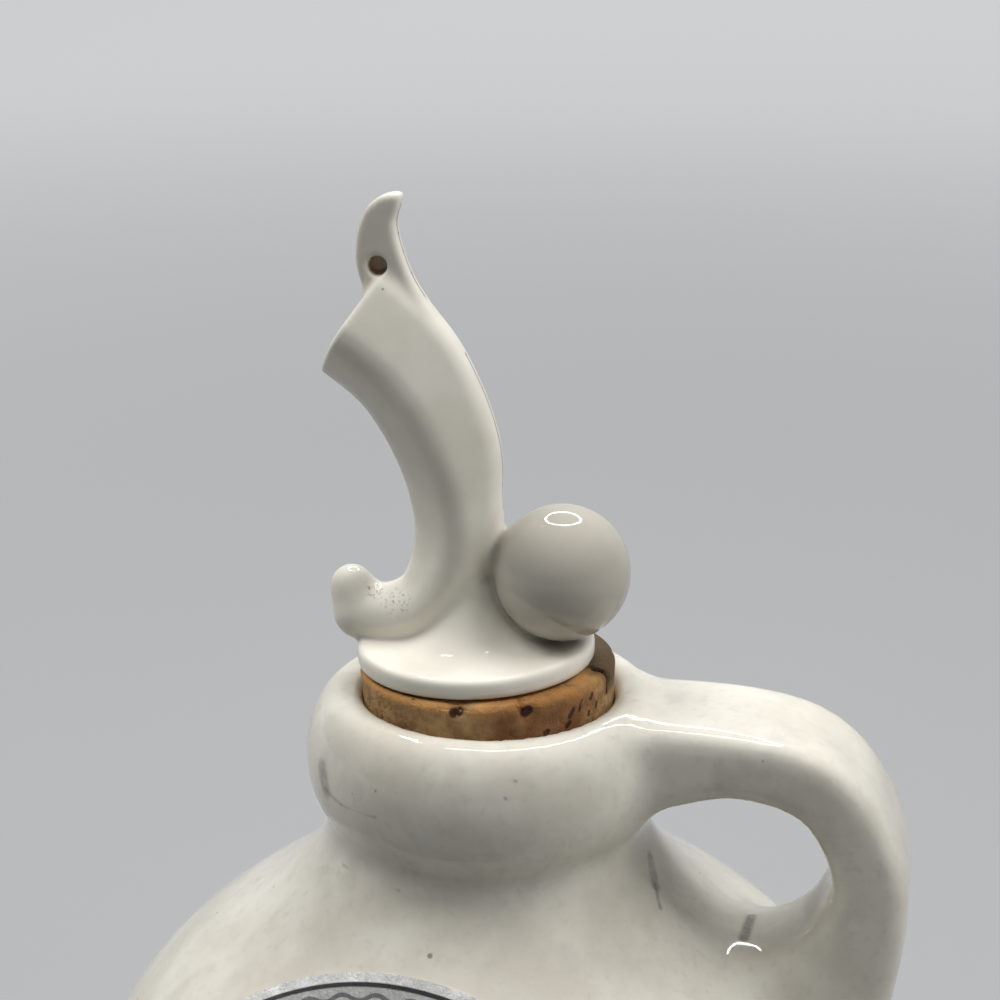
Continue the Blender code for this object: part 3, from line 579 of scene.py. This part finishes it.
def cork_dents(angle, height, rim):
    """How deep each point lies under the plain plug: the sum of bell curves at the dents' places."""
    random = np.random.default_rng(7)
    depth = np.zeros(np.broadcast(angle, height).shape)
    worn = list(CORK_WEAR)
    for _ in range(90):
        place = random.uniform(-180, 180), random.uniform(-21, 4.5)
        worn.append((*place, *random.uniform(0.15, 0.6, 2), random.uniform(0.1, 0.35)))
    for turn, high, wide, tall, deep in worn:
        away = (angle - math.radians(turn) + np.pi) % (2 * np.pi) - np.pi
        depth += deep * np.exp(-((away * 17.0 / wide) ** 2) - ((height - high) / tall) ** 2)
    return depth * rim


profile = cork_profile()
angle = np.linspace(0, 2 * np.pi, CORK_TURNS, endpoint=False)[:, None]
index = np.arange(CORK_TURNS * len(profile)).reshape(CORK_TURNS, -1).T
faces = ring_quads(np.vstack([index, index[:1]]))
rim = np.clip((profile[:, 0] - 14.5) / 1.5, 0, 1) * (profile[:, 1] > -21)
dent = cork_dents(angle, profile[None, :, 1], rim[None, :])
ring = profile[None, :, 0] - dent
height = profile[None, :, 1] - dent * (profile[None, :, 1] > CORK_TOP - 0.6) * 0.6
hole_shift = -STEM_OFFSET * np.clip((12 - profile[:, 0]) / 5.7, 0, 1)
points = np.stack([ring * np.cos(angle) + hole_shift, ring * np.sin(angle), height + 0 * angle], -1)
cork = make_object("cork_skin", carried(points.reshape(-1, 3), seat_to_row) * MM, faces.tolist())
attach(cork, "stopper")
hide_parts("cork_stopper")
print("cork_skin", 2 * len(faces), "triangles")

# %% [markdown]
# ## The label
# An oval of embossed foil, pressed on to the shoulder. Each point of a flat oval is slid inwards
# until it meets the jug, by halving the search forty times for the whole grid at once. The front
# lies a third of a millimetre off the glaze, and the back just inside it.

# %% Label
LABEL_AZIMUTH = math.radians(-97.5)
LABEL_RADIUS, LABEL_WIDTH, LABEL_HEIGHT = 45.5, 66.0, 42.8
LABEL_ROWS, LABEL_TURNS = 36, 240
FOIL_SHEETS = (0.35, -0.25)
SEARCH_REACH, UV_SPAN = 25.0, 100


def label_frame():
    """The label's centre and its side, up-slope and inward directions."""
    outward = np.array([math.cos(LABEL_AZIMUTH), math.sin(LABEL_AZIMUTH), 0])
    side = np.array([-math.sin(LABEL_AZIMUTH), math.cos(LABEL_AZIMUTH), 0])
    up = np.array([0, 0, 1]) * shoulder_slope(LABEL_RADIUS) - outward
    up /= np.linalg.norm(up)
    centre = outward * LABEL_RADIUS + np.array([0, 0, shoulder_height(LABEL_RADIUS)])
    return centre, side, up, np.cross(up, side)


def laid_on_jug(points, inward, proud):
    """Each point slid inwards to where its distance from the axis is the jug's radius at its height."""
    heights, radii = outside[::-1, 1], outside[::-1, 0]
    low, high = np.full(len(points), -SEARCH_REACH), np.full(len(points), SEARCH_REACH)
    for _ in range(40):
        middle = (low + high) / 2
        tried = points + inward * middle[:, None]
        inside = np.hypot(tried[:, 0], tried[:, 1]) < np.interp(tried[:, 2], heights, radii) + proud
        high, low = np.where(inside, middle, high), np.where(inside, low, middle)
    return points + inward * high[:, None]


def label_object():
    """The foil: a front and a back oval, each a fan and rings of quads, and a rim between them."""
    share = np.linspace(0, 1, LABEL_ROWS + 1)[1:, None]
    angle = np.linspace(0, 2 * np.pi, LABEL_TURNS, endpoint=False)[None, :]
    oval = np.stack([share * np.cos(angle) * LABEL_WIDTH / 2, share * np.sin(angle) * LABEL_HEIGHT / 2], -1)
    flat = np.vstack([[(0, 0)], oval.reshape(-1, 2)])
    centre, side, up, inward = label_frame()
    places = centre + flat[:, :1] * side + flat[:, 1:] * up
    sheets = [laid_on_jug(places, inward, proud) for proud in FOIL_SHEETS]
    ring, count = 1 + np.arange(LABEL_ROWS * LABEL_TURNS).reshape(LABEL_ROWS, LABEL_TURNS), len(flat)
    fan = np.stack([np.zeros(LABEL_TURNS, int), ring[0], np.roll(ring[0], -1)], 1)
    quads, rim = ring_quads(ring), ring_quads(np.stack([ring[-1], ring[-1] + count]))
    faces = [*quads.tolist(), *(quads[:, ::-1] + count).tolist(), *rim.tolist()]
    faces += fan.tolist() + (fan[:, [0, 2, 1]] + count).tolist()
    obj = make_object("foil_oval", np.vstack(sheets) * MM, faces)
    obj.data.set_sharp_from_angle(angle=math.radians(40))
    layer = obj.data.uv_layers.new(name="label")
    corner = np.empty(len(obj.data.loops), int)
    obj.data.loops.foreach_get("vertex_index", corner)
    layer.data.foreach_set("uv", (np.vstack([flat, flat])[corner] / UV_SPAN + 0.5).ravel())
    return obj


foil = label_object()
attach(foil, "jug")
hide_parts("label")
print("foil_oval", len(foil.data.polygons), "faces")

# %% [markdown]
# ## Materials
# Every finish is worked out from nodes, with patterns in real millimetres. One function turns a
# screen colour to linear light, and one adds a node with its settings and links.


# %% Colours and nodes
def colour(code):
    """An sRGB hex code as linear red, green, blue and 1."""
    parts = [int(code[i : i + 2], 16) / 255 for i in (1, 3, 5)]
    return (*[c / 12.92 if c <= 0.04045 else ((c + 0.055) / 1.055) ** 2.4 for c in parts], 1.0)


def fill(tree, node, inputs):
    """Links each input that is given another node's output, and gives any other its own value."""
    for key, value in inputs.items():
        if isinstance(value, bpy.types.NodeSocket):
            tree.links.new(value, node.inputs[key])
        else:
            node.inputs[key].default_value = value


def add(tree, kind, inputs=None, out=0, **settings):
    """Adds a node with its settings and its inputs, and gives one of its outputs."""
    node = tree.nodes.new("ShaderNode" + kind)
    for name, value in settings.items():
        setattr(node, name, value)
    fill(tree, node, inputs or {})
    return node.outputs[out]


def new_material(name, piece):
    """An empty Principled material on a piece: its tree, its shader and its place in the object."""
    material = bpy.data.materials.new(name)
    material.use_nodes = True
    piece.data.materials.clear()
    piece.data.materials.append(material)
    tree = material.node_tree
    return tree, tree.nodes["Principled BSDF"], add(tree, "TexCoord", out="Object")


def tell(piece):
    """Prints the piece's material and how many nodes work it out."""
    material = piece.active_material
    print(piece.name, "wears", material.name, "of", len(material.node_tree.nodes), "nodes")


# %% [markdown]
# Blotches are noise with an eased threshold. Specks are the cells of a Voronoi pattern, thinned
# out. A stroke is a soft line between two places. A stain lays one colour over another, as
# strongly as the product of its shares, and marks are stains in the form of strokes.

# %% Patterns
EASED = {"interpolation_type": "SMOOTHSTEP"}


def blotches(tree, place, size_mm, low, high, detail=3.0, roughness=0.5):
    """0 where noise with blotches of size_mm is below low, 1 where it is above high."""
    inputs = {"Vector": place, "Scale": 1 / (size_mm * MM), "Detail": detail, "Roughness": roughness}
    height = add(tree, "TexNoise", inputs)
    return add(tree, "MapRange", {"Value": height, "From Min": low, "From Max": high}, **EASED)


def specks(tree, place, spacing_mm, radius_mm, density):
    """Round dots of one radius in a share of the cells, density, of a spacing_mm pattern."""
    scale = {"Vector": place, "Scale": 1 / (spacing_mm * MM)}
    edge = {"From Min": radius_mm * 1.5 / spacing_mm, "From Max": radius_mm * 0.6 / spacing_mm}
    dots = add(tree, "MapRange", {"Value": add(tree, "TexVoronoi", scale, "Distance"), **edge}, **EASED)
    chance = add(tree, "SeparateColor", {0: add(tree, "TexVoronoi", scale, "Color")})
    chosen = add(tree, "Math", {0: chance, 1: 1 - density}, operation="GREATER_THAN")
    return add(tree, "Math", {0: dots, 1: chosen}, operation="MULTIPLY")


def stroke(tree, place, start, stop, half_width, edge):
    """1 on a line from start to stop, in millimetres, and 0 beyond its half width and soft edge."""
    a, b = Vector(start) * MM, Vector(stop) * MM
    along = b - a
    offset = add(tree, "VectorMath", {0: place, 1: a}, operation="SUBTRACT")
    scaled = along / max(along.length_squared, 1e-12)
    way = add(tree, "VectorMath", {0: offset, 1: scaled}, "Value", operation="DOT_PRODUCT")
    share = add(tree, "Clamp", {"Value": way})
    nearest = add(tree, "VectorMath", {0: along, "Scale": share}, operation="SCALE")
    away = add(tree, "VectorMath", {0: offset, 1: nearest}, "Value", operation="DISTANCE")
    limits = {"From Min": (half_width + edge) * MM, "From Max": half_width * MM}
    return add(tree, "MapRange", {"Value": away, **limits}, **EASED)


def stained(tree, under, code, *shares):
    """The colour under, turned towards a hex code's colour by the product of the shares."""
    share = shares[0]
    for other in shares[1:]:
        share = add(tree, "Math", {0: share, 1: other}, operation="MULTIPLY")
    return add(tree, "Mix", {0: share, 6: under, 7: colour(code)}, 2, data_type="RGBA")


def marked(tree, place, under, code, marks, *shares):
    """A stain for each mark: its start, its stop, its half width, its soft edge and its strength."""
    for start, stop, half, edge, strength in marks:
        line = stroke(tree, place, start, stop, half, edge)
        under = stained(tree, under, code, line, *shares, strength)
    return under


def end_finish(tree, shader, base, dull, span, waves, settings):
    """Gives the shader its colour, a roughness between two values, as the pattern dull says, and
    waves: each a pattern, its strength and its depth in millimetres."""
    scaled = {"Value": dull, "To Min": span[0], "To Max": span[1]}
    inputs = {"Base Color": base, "Roughness": add(tree, "MapRange", scaled), **settings}
    for height, strength, depth in waves:
        below = {"Normal": inputs["Normal"]} if "Normal" in inputs else {}
        wave = {"Height": height, "Strength": strength, "Distance": depth * MM, **below}
        inputs["Normal"] = add(tree, "Bump", wave)
    fill(tree, shader, inputs)


# %% [markdown]
# ### Stoneware under a clear, slightly grey glaze
# Stoneware fires to an uneven warm white. The clear glaze over it is glass: very smooth, with a
# refractive index near 1.5. Under it show blotches of warmer and greyer clay a centimetre or two
# wide, a fine mottle, iron specks of a few tenths of a millimetre, and a few grey-brown specks and
# thin dark lines, one across the crease where the handle lands. The glaze ripples a little.

# %% Stoneware glaze
# Grey-brown specks and thin dark lines; the first lies across the crease where the handle lands.
GLAZE_DARK_MARKS = [
    ((36.5, 3.0, 124.5), (36.1, -3.0, 124.6), 0.3, 0.8, 0.7),
    ((23.3, -2.6, 135.2), (24.2, -5.4, 132.6), 0.45, 0.9, 0.55),
    ((24.2, -5.4, 132.6), (25.2, -7.8, 130.6), 0.1, 0.5, 0.5),
    ((-18.8, -16.2, 150.3), (-18.0, -17.0, 147.9), 0.5, 1.5, 0.5),
    ((-18.0, -17.0, 147.9), (-15.2, -19.6, 147.2), 0.05, 0.5, 0.4),
    ((-15.2, -19.6, 147.2), (-9.6, -22.9, 147.6), 0.03, 0.35, 0.35),
    ((-16.4, -15.7, 136.2), (-7.0, -21.3, 136.6), 0.03, 0.4, 0.4),
    ((8.4, -22.1, 154.3), (8.6, -22.1, 154.2), 0.05, 0.3, 0.4),
    ((7.4, -23.2, 152.3), (7.5, -23.2, 152.2), 0.05, 0.3, 0.45),
]


def stoneware_glaze(piece):
    tree, shader, place = new_material("stoneware_clear_glaze", piece)
    cloud = blotches(tree, place, 17, 0.38, 0.64, 4, 0.55)
    clay = stained(tree, colour("#DEDACE"), "#D0CBBD", cloud)
    clay = stained(tree, clay, "#C2BEB4", blotches(tree, place, 7, 0.48, 0.72, 5, 0.6), 0.5)
    clay = stained(tree, clay, "#BBB5A9", blotches(tree, place, 1.5, 0.5, 0.8, 3, 0.6), 0.35)
    for spacing, size, density, strength in ((3.2, 0.2, 0.16, 0.5), (8.0, 0.33, 0.22, 0.75)):
        clay = stained(tree, clay, "#6E665A", specks(tree, place, spacing, size, density), strength)
    broken = blotches(tree, place, 1.2, 0.2, 0.52, 4, 0.7)
    clay = marked(tree, place, clay, "#5D5546", GLAZE_DARK_MARKS, broken)
    dull = blotches(tree, place, 5, 0.3, 0.75)
    ripple, peel = (blotches(tree, place, size, 0.2, 0.8, 2) for size in (9, 1.1))
    waves = [(ripple, 0.3, 0.2), (peel, 0.1, 0.02)]
    end_finish(tree, shader, clay, dull, (0.03, 0.08), waves, {"IOR": 1.52})


stoneware_glaze(jug)
tell(jug)

# %% [markdown]
# ### White porcelain
# Slip-cast porcelain is finer than the jug's clay, so its colour is nearly even and a little
# greyer, and its glaze is thin and glossy. The ball is painted darker all over, as painted shade.
# Dirt has settled in the curl's saddle and in the ear's pin hole, and grit from the kiln shows as a
# few dark points. Where the halves of the mould met, a fine dark seam runs down the back edge.

# %% Porcelain glaze
PORCELAIN_DIRT = [
    (place, place, wide * 0.25, wide * 0.75, strength)
    for place, wide, strength in (
        ((-15.2, -2.2, 170.9), 2.2, 0.8), ((-12.0, -3.8, 170.0), 3.2, 0.6), ((4.9, -3.5, 170.5), 2.6, 0.3)
    )
]
BALL_MIDDLE = tuple(stem_to_row @ Vector((BALL[0], 0, BALL[1])))
PORCELAIN_GRIT = [
    (place, place, 0.12, 0.2, 0.85)
    for place in ((-7.0, -6.2, 186.7), (-1.0, -3.6, 195.4), (-15.5, -6.1, 199.2), (4.4, -9.6, 165.2))
]
PIN_HOLE = [tuple(stem_to_row @ Vector((EAR_HOLE[0], depth, EAR_HOLE[1]))) for depth in (-0.2, 1.2)]


def seam_marks():
    """Strokes down the ear's back, then along the horn's middle line moved out to its back edge."""
    along = np.gradient(horn_path[:, :2], axis=0)
    out = np.stack([along[:, 1], -along[:, 0]], 1) / np.linalg.norm(along, axis=1, keepdims=True)
    edge = (horn_path[:, :2] + out * (horn_path[:, 2:3] + horn_path[:, 3:4]))[101:59:-7]
    ends = [tuple(stem_to_row @ Vector((x, 0.2, z))) for x, z in np.vstack([EAR_KNOTS[9:17], edge])]
    return [(start, stop, 0.1, 0.25, 0.7) for start, stop in zip(ends, ends[1:])]


def porcelain_glaze(piece):
    tree, shader, place = new_material("porcelain_clear_glaze", piece)
    cloud = blotches(tree, place, 12, 0.35, 0.68)
    clay = stained(tree, colour("#ECE8DC"), "#E1DCCE", cloud)
    # Painted shade: the ball, and a millimetre round it, painted darker and greyer.
    clay = marked(tree, place, clay, "#B2ADA1", [(BALL_MIDDLE, BALL_MIDDLE, BALL_RADIUS + 0.2, 1.2, 0.95)])
    clay = stained(tree, clay, "#6A6154", specks(tree, place, 6.0, 0.16, 0.18), 0.6)
    fine = blotches(tree, place, 0.45, 0.52, 0.66, 3, 0.7)
    clay = marked(tree, place, clay, "#5E5646", PORCELAIN_DIRT, fine)
    clay = marked(tree, place, clay, "#6B6557", seam_marks())
    clay = marked(tree, place, clay, "#B59C6E", [(*PIN_HOLE, EAR_HOLE_RADIUS, 0.12, 0.95)])
    clay = marked(tree, place, clay, "#4A4238", PORCELAIN_GRIT)
    dull = blotches(tree, place, 6, 0.3, 0.75)
    ripples = [(blotches(tree, place, 5, 0.2, 0.8, 2), 0.25, 0.15)]
    end_finish(tree, shader, clay, dull, (0.02, 0.05), ripples, {"IOR": 1.5})


porcelain_glaze(pourer)
tell(pourer)

# %% [markdown]
# ### Natural cork
# Cork is bark: pale tan, with darker year bands and brown pores called lenticels. Here the side is
# greyed by handling, redder on the right and nearly black in its worn pits, and the top edge is worn
# to a warmer orange brown. It is dull and rough. Marks are given by degrees and height on the cork.

# %% Cork
CORK_EDGE_Z = JUG_HEIGHT - SEAT_DROP + CORK_TOP


def on_cork(turn, height, radius=CORK_RADIUS - 0.1):
    """A place on the cork, from degrees round it and millimetres over the seat."""
    a = math.radians(turn)
    return tuple(seat_to_row @ Vector((radius * math.cos(a), radius * math.sin(a), height)))


CORK_MARKS = [
    ((-92.3, 3.9, 16.5), (-90.0, 4.2, 16.5), 0.45, 0.4, 0.95),
    ((-91.3, 5.0, 16.7), (-91.0, 4.2, 16.6), 0.35, 0.3, 0.9),
    ((-60.4, 3.6, 16.5), (-58.8, 3.9, 16.5), 0.45, 0.35, 0.95),
    ((-63.6, 5.0, 16.6), (-61.5, 3.6, 16.7), 0.2, 0.25, 0.8),
    ((-6.0, 4.9, 14.6), (-10.0, 4.8, 16.7), 0.35, 0.25, 0.95),
    ((-10.0, 4.8, 16.7), (-9.5, 2.0, 16.7), 0.35, 0.25, 0.95),
    ((-31.5, 3.2), (-33.0, 2.2), 0.2, 0.3, 0.85),
    ((-25.0, 3.5), (-25.5, 3.1), 0.25, 0.25, 0.9),
    ((-37.0, 2.6), (-39.0, 1.7), 0.2, 0.3, 0.85),
    ((-26.5, 1.2), (-27.0, 0.8), 0.15, 0.25, 0.85),
    ((-21.0, 1.9), (-21.5, 1.3), 0.15, 0.25, 0.85),
    ((-39.0, 0.9), (-40.5, 0.5), 0.25, 0.25, 0.9),
    ((-50.5, 0.6), (-51.5, 0.4), 0.25, 0.25, 0.9),
]
# Painted shade: a dark grey-brown band on the top's back right, under the flange's rim.
CORK_FLANGE_SHADE = [((-4, 5.0, 16.5), (35, 5.0, 15.5), 1.5, 3.0, 0.9)]
CORK_RUST = [((-64, 1.5), (-38, 1.5), 1.5, 5.0, 0.6)]


def placed(marks):
    """The marks with their starts and stops as places."""
    return [(on_cork(*start), on_cork(*stop), *rest) for start, stop, *rest in marks]


def natural_cork(piece):
    tree, shader, place = new_material("cork_bark", piece)
    grain = blotches(tree, place, 2.2, 0.35, 0.65, 6, 0.65)
    bark = stained(tree, colour("#8A6B47"), "#AD8C62", grain)
    tall = add(tree, "Mapping", {"Vector": place, "Scale": (1, 1, 0.25)})
    bark = stained(tree, bark, "#6E5130", blotches(tree, tall, 2.6, 0.52, 0.72, 3, 0.6), 0.55)
    height = add(tree, "SeparateXYZ", {0: place}, 2)
    edge = {"From Min": (CORK_EDGE_Z - 1.9) * MM, "From Max": (CORK_EDGE_Z - 0.4) * MM}
    worn = add(tree, "MapRange", {"Value": height, **edge}, **EASED)
    bark = stained(tree, bark, "#BC8B54", worn, blotches(tree, place, 3, 0.25, 0.6))
    # painted shade under the flange's rim
    bark = marked(tree, place, bark, "#3F3526", placed(CORK_FLANGE_SHADE))
    bark = marked(tree, place, bark, "#6B3A18", placed(CORK_RUST))
    pores = specks(tree, add(tree, "Mapping", {"Vector": place, "Scale": (1, 1, 0.6)}), 1.6, 0.2, 0.3)
    bark = stained(tree, bark, "#4C3220", pores, 0.8)
    ragged = blotches(tree, place, 0.9, 0.3, 0.46, 4, 0.7)
    bark = marked(tree, place, bark, "#2E1710", placed(CORK_MARKS), ragged)
    rough = add(tree, "Bump", {"Height": grain, "Strength": 0.6, "Distance": 0.0003})
    fill(tree, shader, {"Base Color": bark, "Roughness": 0.78, "Normal": rough})


natural_cork(cork)
tell(cork)

# %% [markdown]
# ### Embossed foil
# The label is thin aluminium foil on paper. Its bright rim is about 1.7 mm wide, with a thin dark
# line inside it. The greyed field carries only a plain border of arcs. Fine creases scatter most
# of the light, so only a quarter of the foil is given as bare metal. Its left end is brown with
# age. Each step of the pattern is eased between two shares of the oval's size.

# %% Foil
FOIL_STEPS = ((0.935, 0.92), (0.945, 0.935), (0.905, 0.915), (0.865, 0.855), (0.825, 0.835))
ARC_COUNT, ARC_DEPTH = 36, 0.018


def foil_label(piece):
    tree, shader, place = new_material("aluminium_foil", piece)
    flat = add(tree, "UVMap", uv_map="label")
    centred = add(tree, "VectorMath", {0: flat, 1: (0.5, 0.5, 0)}, operation="SUBTRACT")
    half_sizes = (2 * UV_SPAN / LABEL_WIDTH, 2 * UV_SPAN / LABEL_HEIGHT, 0)
    unit = add(tree, "VectorMath", {0: centred, 1: half_sizes}, operation="MULTIPLY")
    share = add(tree, "VectorMath", {0: unit}, "Value", operation="LENGTH")
    side = add(tree, "SeparateXYZ", {0: unit}, 0)
    turn = add(tree, "Math", {0: add(tree, "SeparateXYZ", {0: unit}, 1), 1: side}, operation="ARCTAN2")
    turns = add(tree, "Math", {0: turn, 1: ARC_COUNT}, operation="MULTIPLY")
    wave = add(tree, "Math", {0: turns}, operation="SINE")
    scallop = add(tree, "Math", {0: wave, 1: ARC_DEPTH, 2: share}, operation="MULTIPLY_ADD")
    inner, line_outside, line_inside, arc_outside, arc_inside = [
        add(tree, "MapRange", {"Value": value, "From Min": start, "From Max": stop}, **EASED)
        for value, (start, stop) in zip([share] * 3 + [scallop] * 2, FOIL_STEPS)
    ]
    silver = stained(tree, colour("#F4F4F1"), "#D2D2CF", blotches(tree, place, 3, 0.35, 0.65, 5, 0.7))
    field = stained(tree, silver, "#A6A6A2", inner, 0.85)
    field = stained(tree, field, "#3A3A3C", line_inside, line_outside)
    field = stained(tree, field, "#47474A", arc_outside, arc_inside, 0.8)
    aged = add(tree, "MapRange", {"Value": side, "From Min": -0.55, "From Max": -0.95}, **EASED)
    field = stained(tree, field, "#8A7350", aged, blotches(tree, place, 4, 0.35, 0.6), 0.6)
    dull = blotches(tree, place, 2.0, 0.3, 0.7, 4, 0.7)
    creases = [(blotches(tree, place, 2.5, 0.2, 0.8, 6, 0.75), 0.6, 0.4)]
    end_finish(tree, shader, field, dull, (0.22, 0.4), creases, {"Metallic": 0.25})


foil_label(foil)
tell(foil)

# %% [markdown]
# ## Camera, floor and light
# The camera stands 27 cm from the mouth and looks down at it by 18 degrees. The floor is a plain
# pale sheet that sweeps up far behind the jug. Broad lamps hang high on both sides and over the
# left shoulder, and a weak one stands low on the right. The glaze also shows a round lamp with a
# bright rim, as small rings, and a soft pale room.

# %% Camera
camera = bpy.data.objects.new("camera", bpy.data.cameras.new("camera"))
bpy.context.scene.collection.objects.link(camera)
camera.location = (0.05629, -0.24381, 0.2651)
camera.rotation_euler = (math.radians(71.955), 0, math.radians(12.656))
camera.data.sensor_width = 36
camera.data.lens = 72
bpy.context.scene.camera = camera
bpy.context.scene.view_settings.view_transform = "Standard"

# %% Floor that sweeps up
FLOOR_HALF_WIDTH, FLOOR_FRONT, WALL_TOP = 4000, -3000, 3200
SWEEP_START, SWEEP_RADIUS = 1800, 900
sweep = arc((SWEEP_START, SWEEP_RADIUS), SWEEP_RADIUS, -90, 0)
sheet = np.vstack([[(FLOOR_FRONT, 0)], sweep, [(SWEEP_START + SWEEP_RADIUS, WALL_TOP)]])
across = np.repeat([-FLOOR_HALF_WIDTH, FLOOR_HALF_WIDTH], len(sheet))
points = np.column_stack([across, np.vstack([sheet, sheet])])
quads = ring_quads(np.arange(2 * len(sheet)).reshape(2, -1))[:-1]
floor = make_object("floor", points * MM, quads.tolist())

PAPER_GLOW = {"From Min": 0.2, "From Max": 2.3, "To Min": 0.38, "To Max": 0.94}


def matt_sheet(piece):
    """Matt paper. To the camera and in the glaze it also glows, more with the distance from the
    lamps, so that it stays evenly pale."""
    tree, shader, place = new_material("matt_paper", piece)
    seen = [add(tree, "LightPath", out=f"Is {ray} Ray") for ray in ("Camera", "Glossy", "Transmission")]
    seen = add(tree, "Math", {0: seen[0], 1: add(tree, "Math", {0: seen[1], 1: seen[2]})}, use_clamp=True)
    away = add(tree, "VectorMath", {0: place}, "Value", operation="LENGTH")
    glow = add(tree, "MapRange", {"Value": away, **PAPER_GLOW}, **EASED)
    glow = add(tree, "Math", {0: glow, 1: seen}, operation="MULTIPLY")
    inputs = {"Base Color": colour("#787979"), "Roughness": 0.9, "Specular IOR Level": 0.1}
    fill(tree, shader, {**inputs, "Emission Color": colour("#CBCCCE"), "Emission Strength": glow})


matt_sheet(floor)
tell(floor)

# %% Round lamp with a bright rim, seen in the glaze alone
LAMP_PLACE, LAMP_AIM = Vector((-0.036, 0.262, 0.60)), Vector((0, 0, 0.16))
LAMP_RADIUS, LAMP_RIM, LAMP_TURNS = 0.18, 0.026, 96
angle = np.linspace(0, 2 * np.pi, LAMP_TURNS, endpoint=False)
circle = np.stack([np.cos(angle), np.sin(angle), 0 * angle], 1)
turn = (LAMP_PLACE - LAMP_AIM).to_track_quat("Z", "Y").to_matrix().to_4x4()
points = carried(np.vstack([circle * (LAMP_RADIUS - LAMP_RIM), circle * LAMP_RADIUS]), turn)
quads = ring_quads(np.arange(2 * LAMP_TURNS).reshape(2, -1))
rim = make_object("lamp_rim", points + np.array(LAMP_PLACE), quads.tolist())
rim.visible_camera = rim.visible_diffuse = False
tree, shader, _ = new_material("lamp_glow", rim)
white = {"Base Color": colour("#000000"), "Emission Color": colour("#FFFFFF")}
fill(tree, shader, {**white, "Emission Strength": 17.0})

# %% Broad lamps
def soft_lamp(name, place, aim, size, energy, shape="SQUARE"):
    """A flat lamp turned to its aim, which the glaze doesn't mirror."""
    obj = bpy.data.objects.new(name, bpy.data.lights.new(name, "AREA"))
    bpy.context.scene.collection.objects.link(obj)
    obj.data.shape, obj.data.size, obj.data.energy = shape, size, energy
    obj.location = place
    obj.rotation_euler = (Vector(place) - Vector(aim)).to_track_quat("Z", "Y").to_euler()
    obj.visible_glossy = False


soft_lamp("lamp_middle", LAMP_PLACE, LAMP_AIM, 2 * LAMP_RADIUS - 0.06, 1.2, "DISK")
for name, place, energy in (
    ("lamp_left", (-1.0, 0.1, 1.4), 17.5), ("lamp_right", (1.0, 0.1, 1.4), 19.0),
    ("lamp_front", (-0.55, -0.55, 1.7), 7.5), ("lamp_low", (1.15, -0.5, 0.6), 2.6),
):
    soft_lamp(name, place, (0, 0, 0.15), 0.9, energy)

# %% The room: faint in its light, soft in the glaze, and as pale as the far paper to the camera
world = bpy.context.scene.world or bpy.data.worlds.new("world")
bpy.context.scene.world = world
world.use_nodes = True
tree = world.node_tree
mirrored = {"Value": add(tree, "LightPath", out="Is Glossy Ray"), "To Min": 0.02, "To Max": 0.3}
seen = {0: add(tree, "LightPath", out="Is Camera Ray"), 1: 0.95, 2: add(tree, "MapRange", mirrored)}
room = {"Color": colour("#CBCCCE"), "Strength": add(tree, "Math", seen, operation="MULTIPLY_ADD")}
fill(tree, tree.nodes["Background"], room)
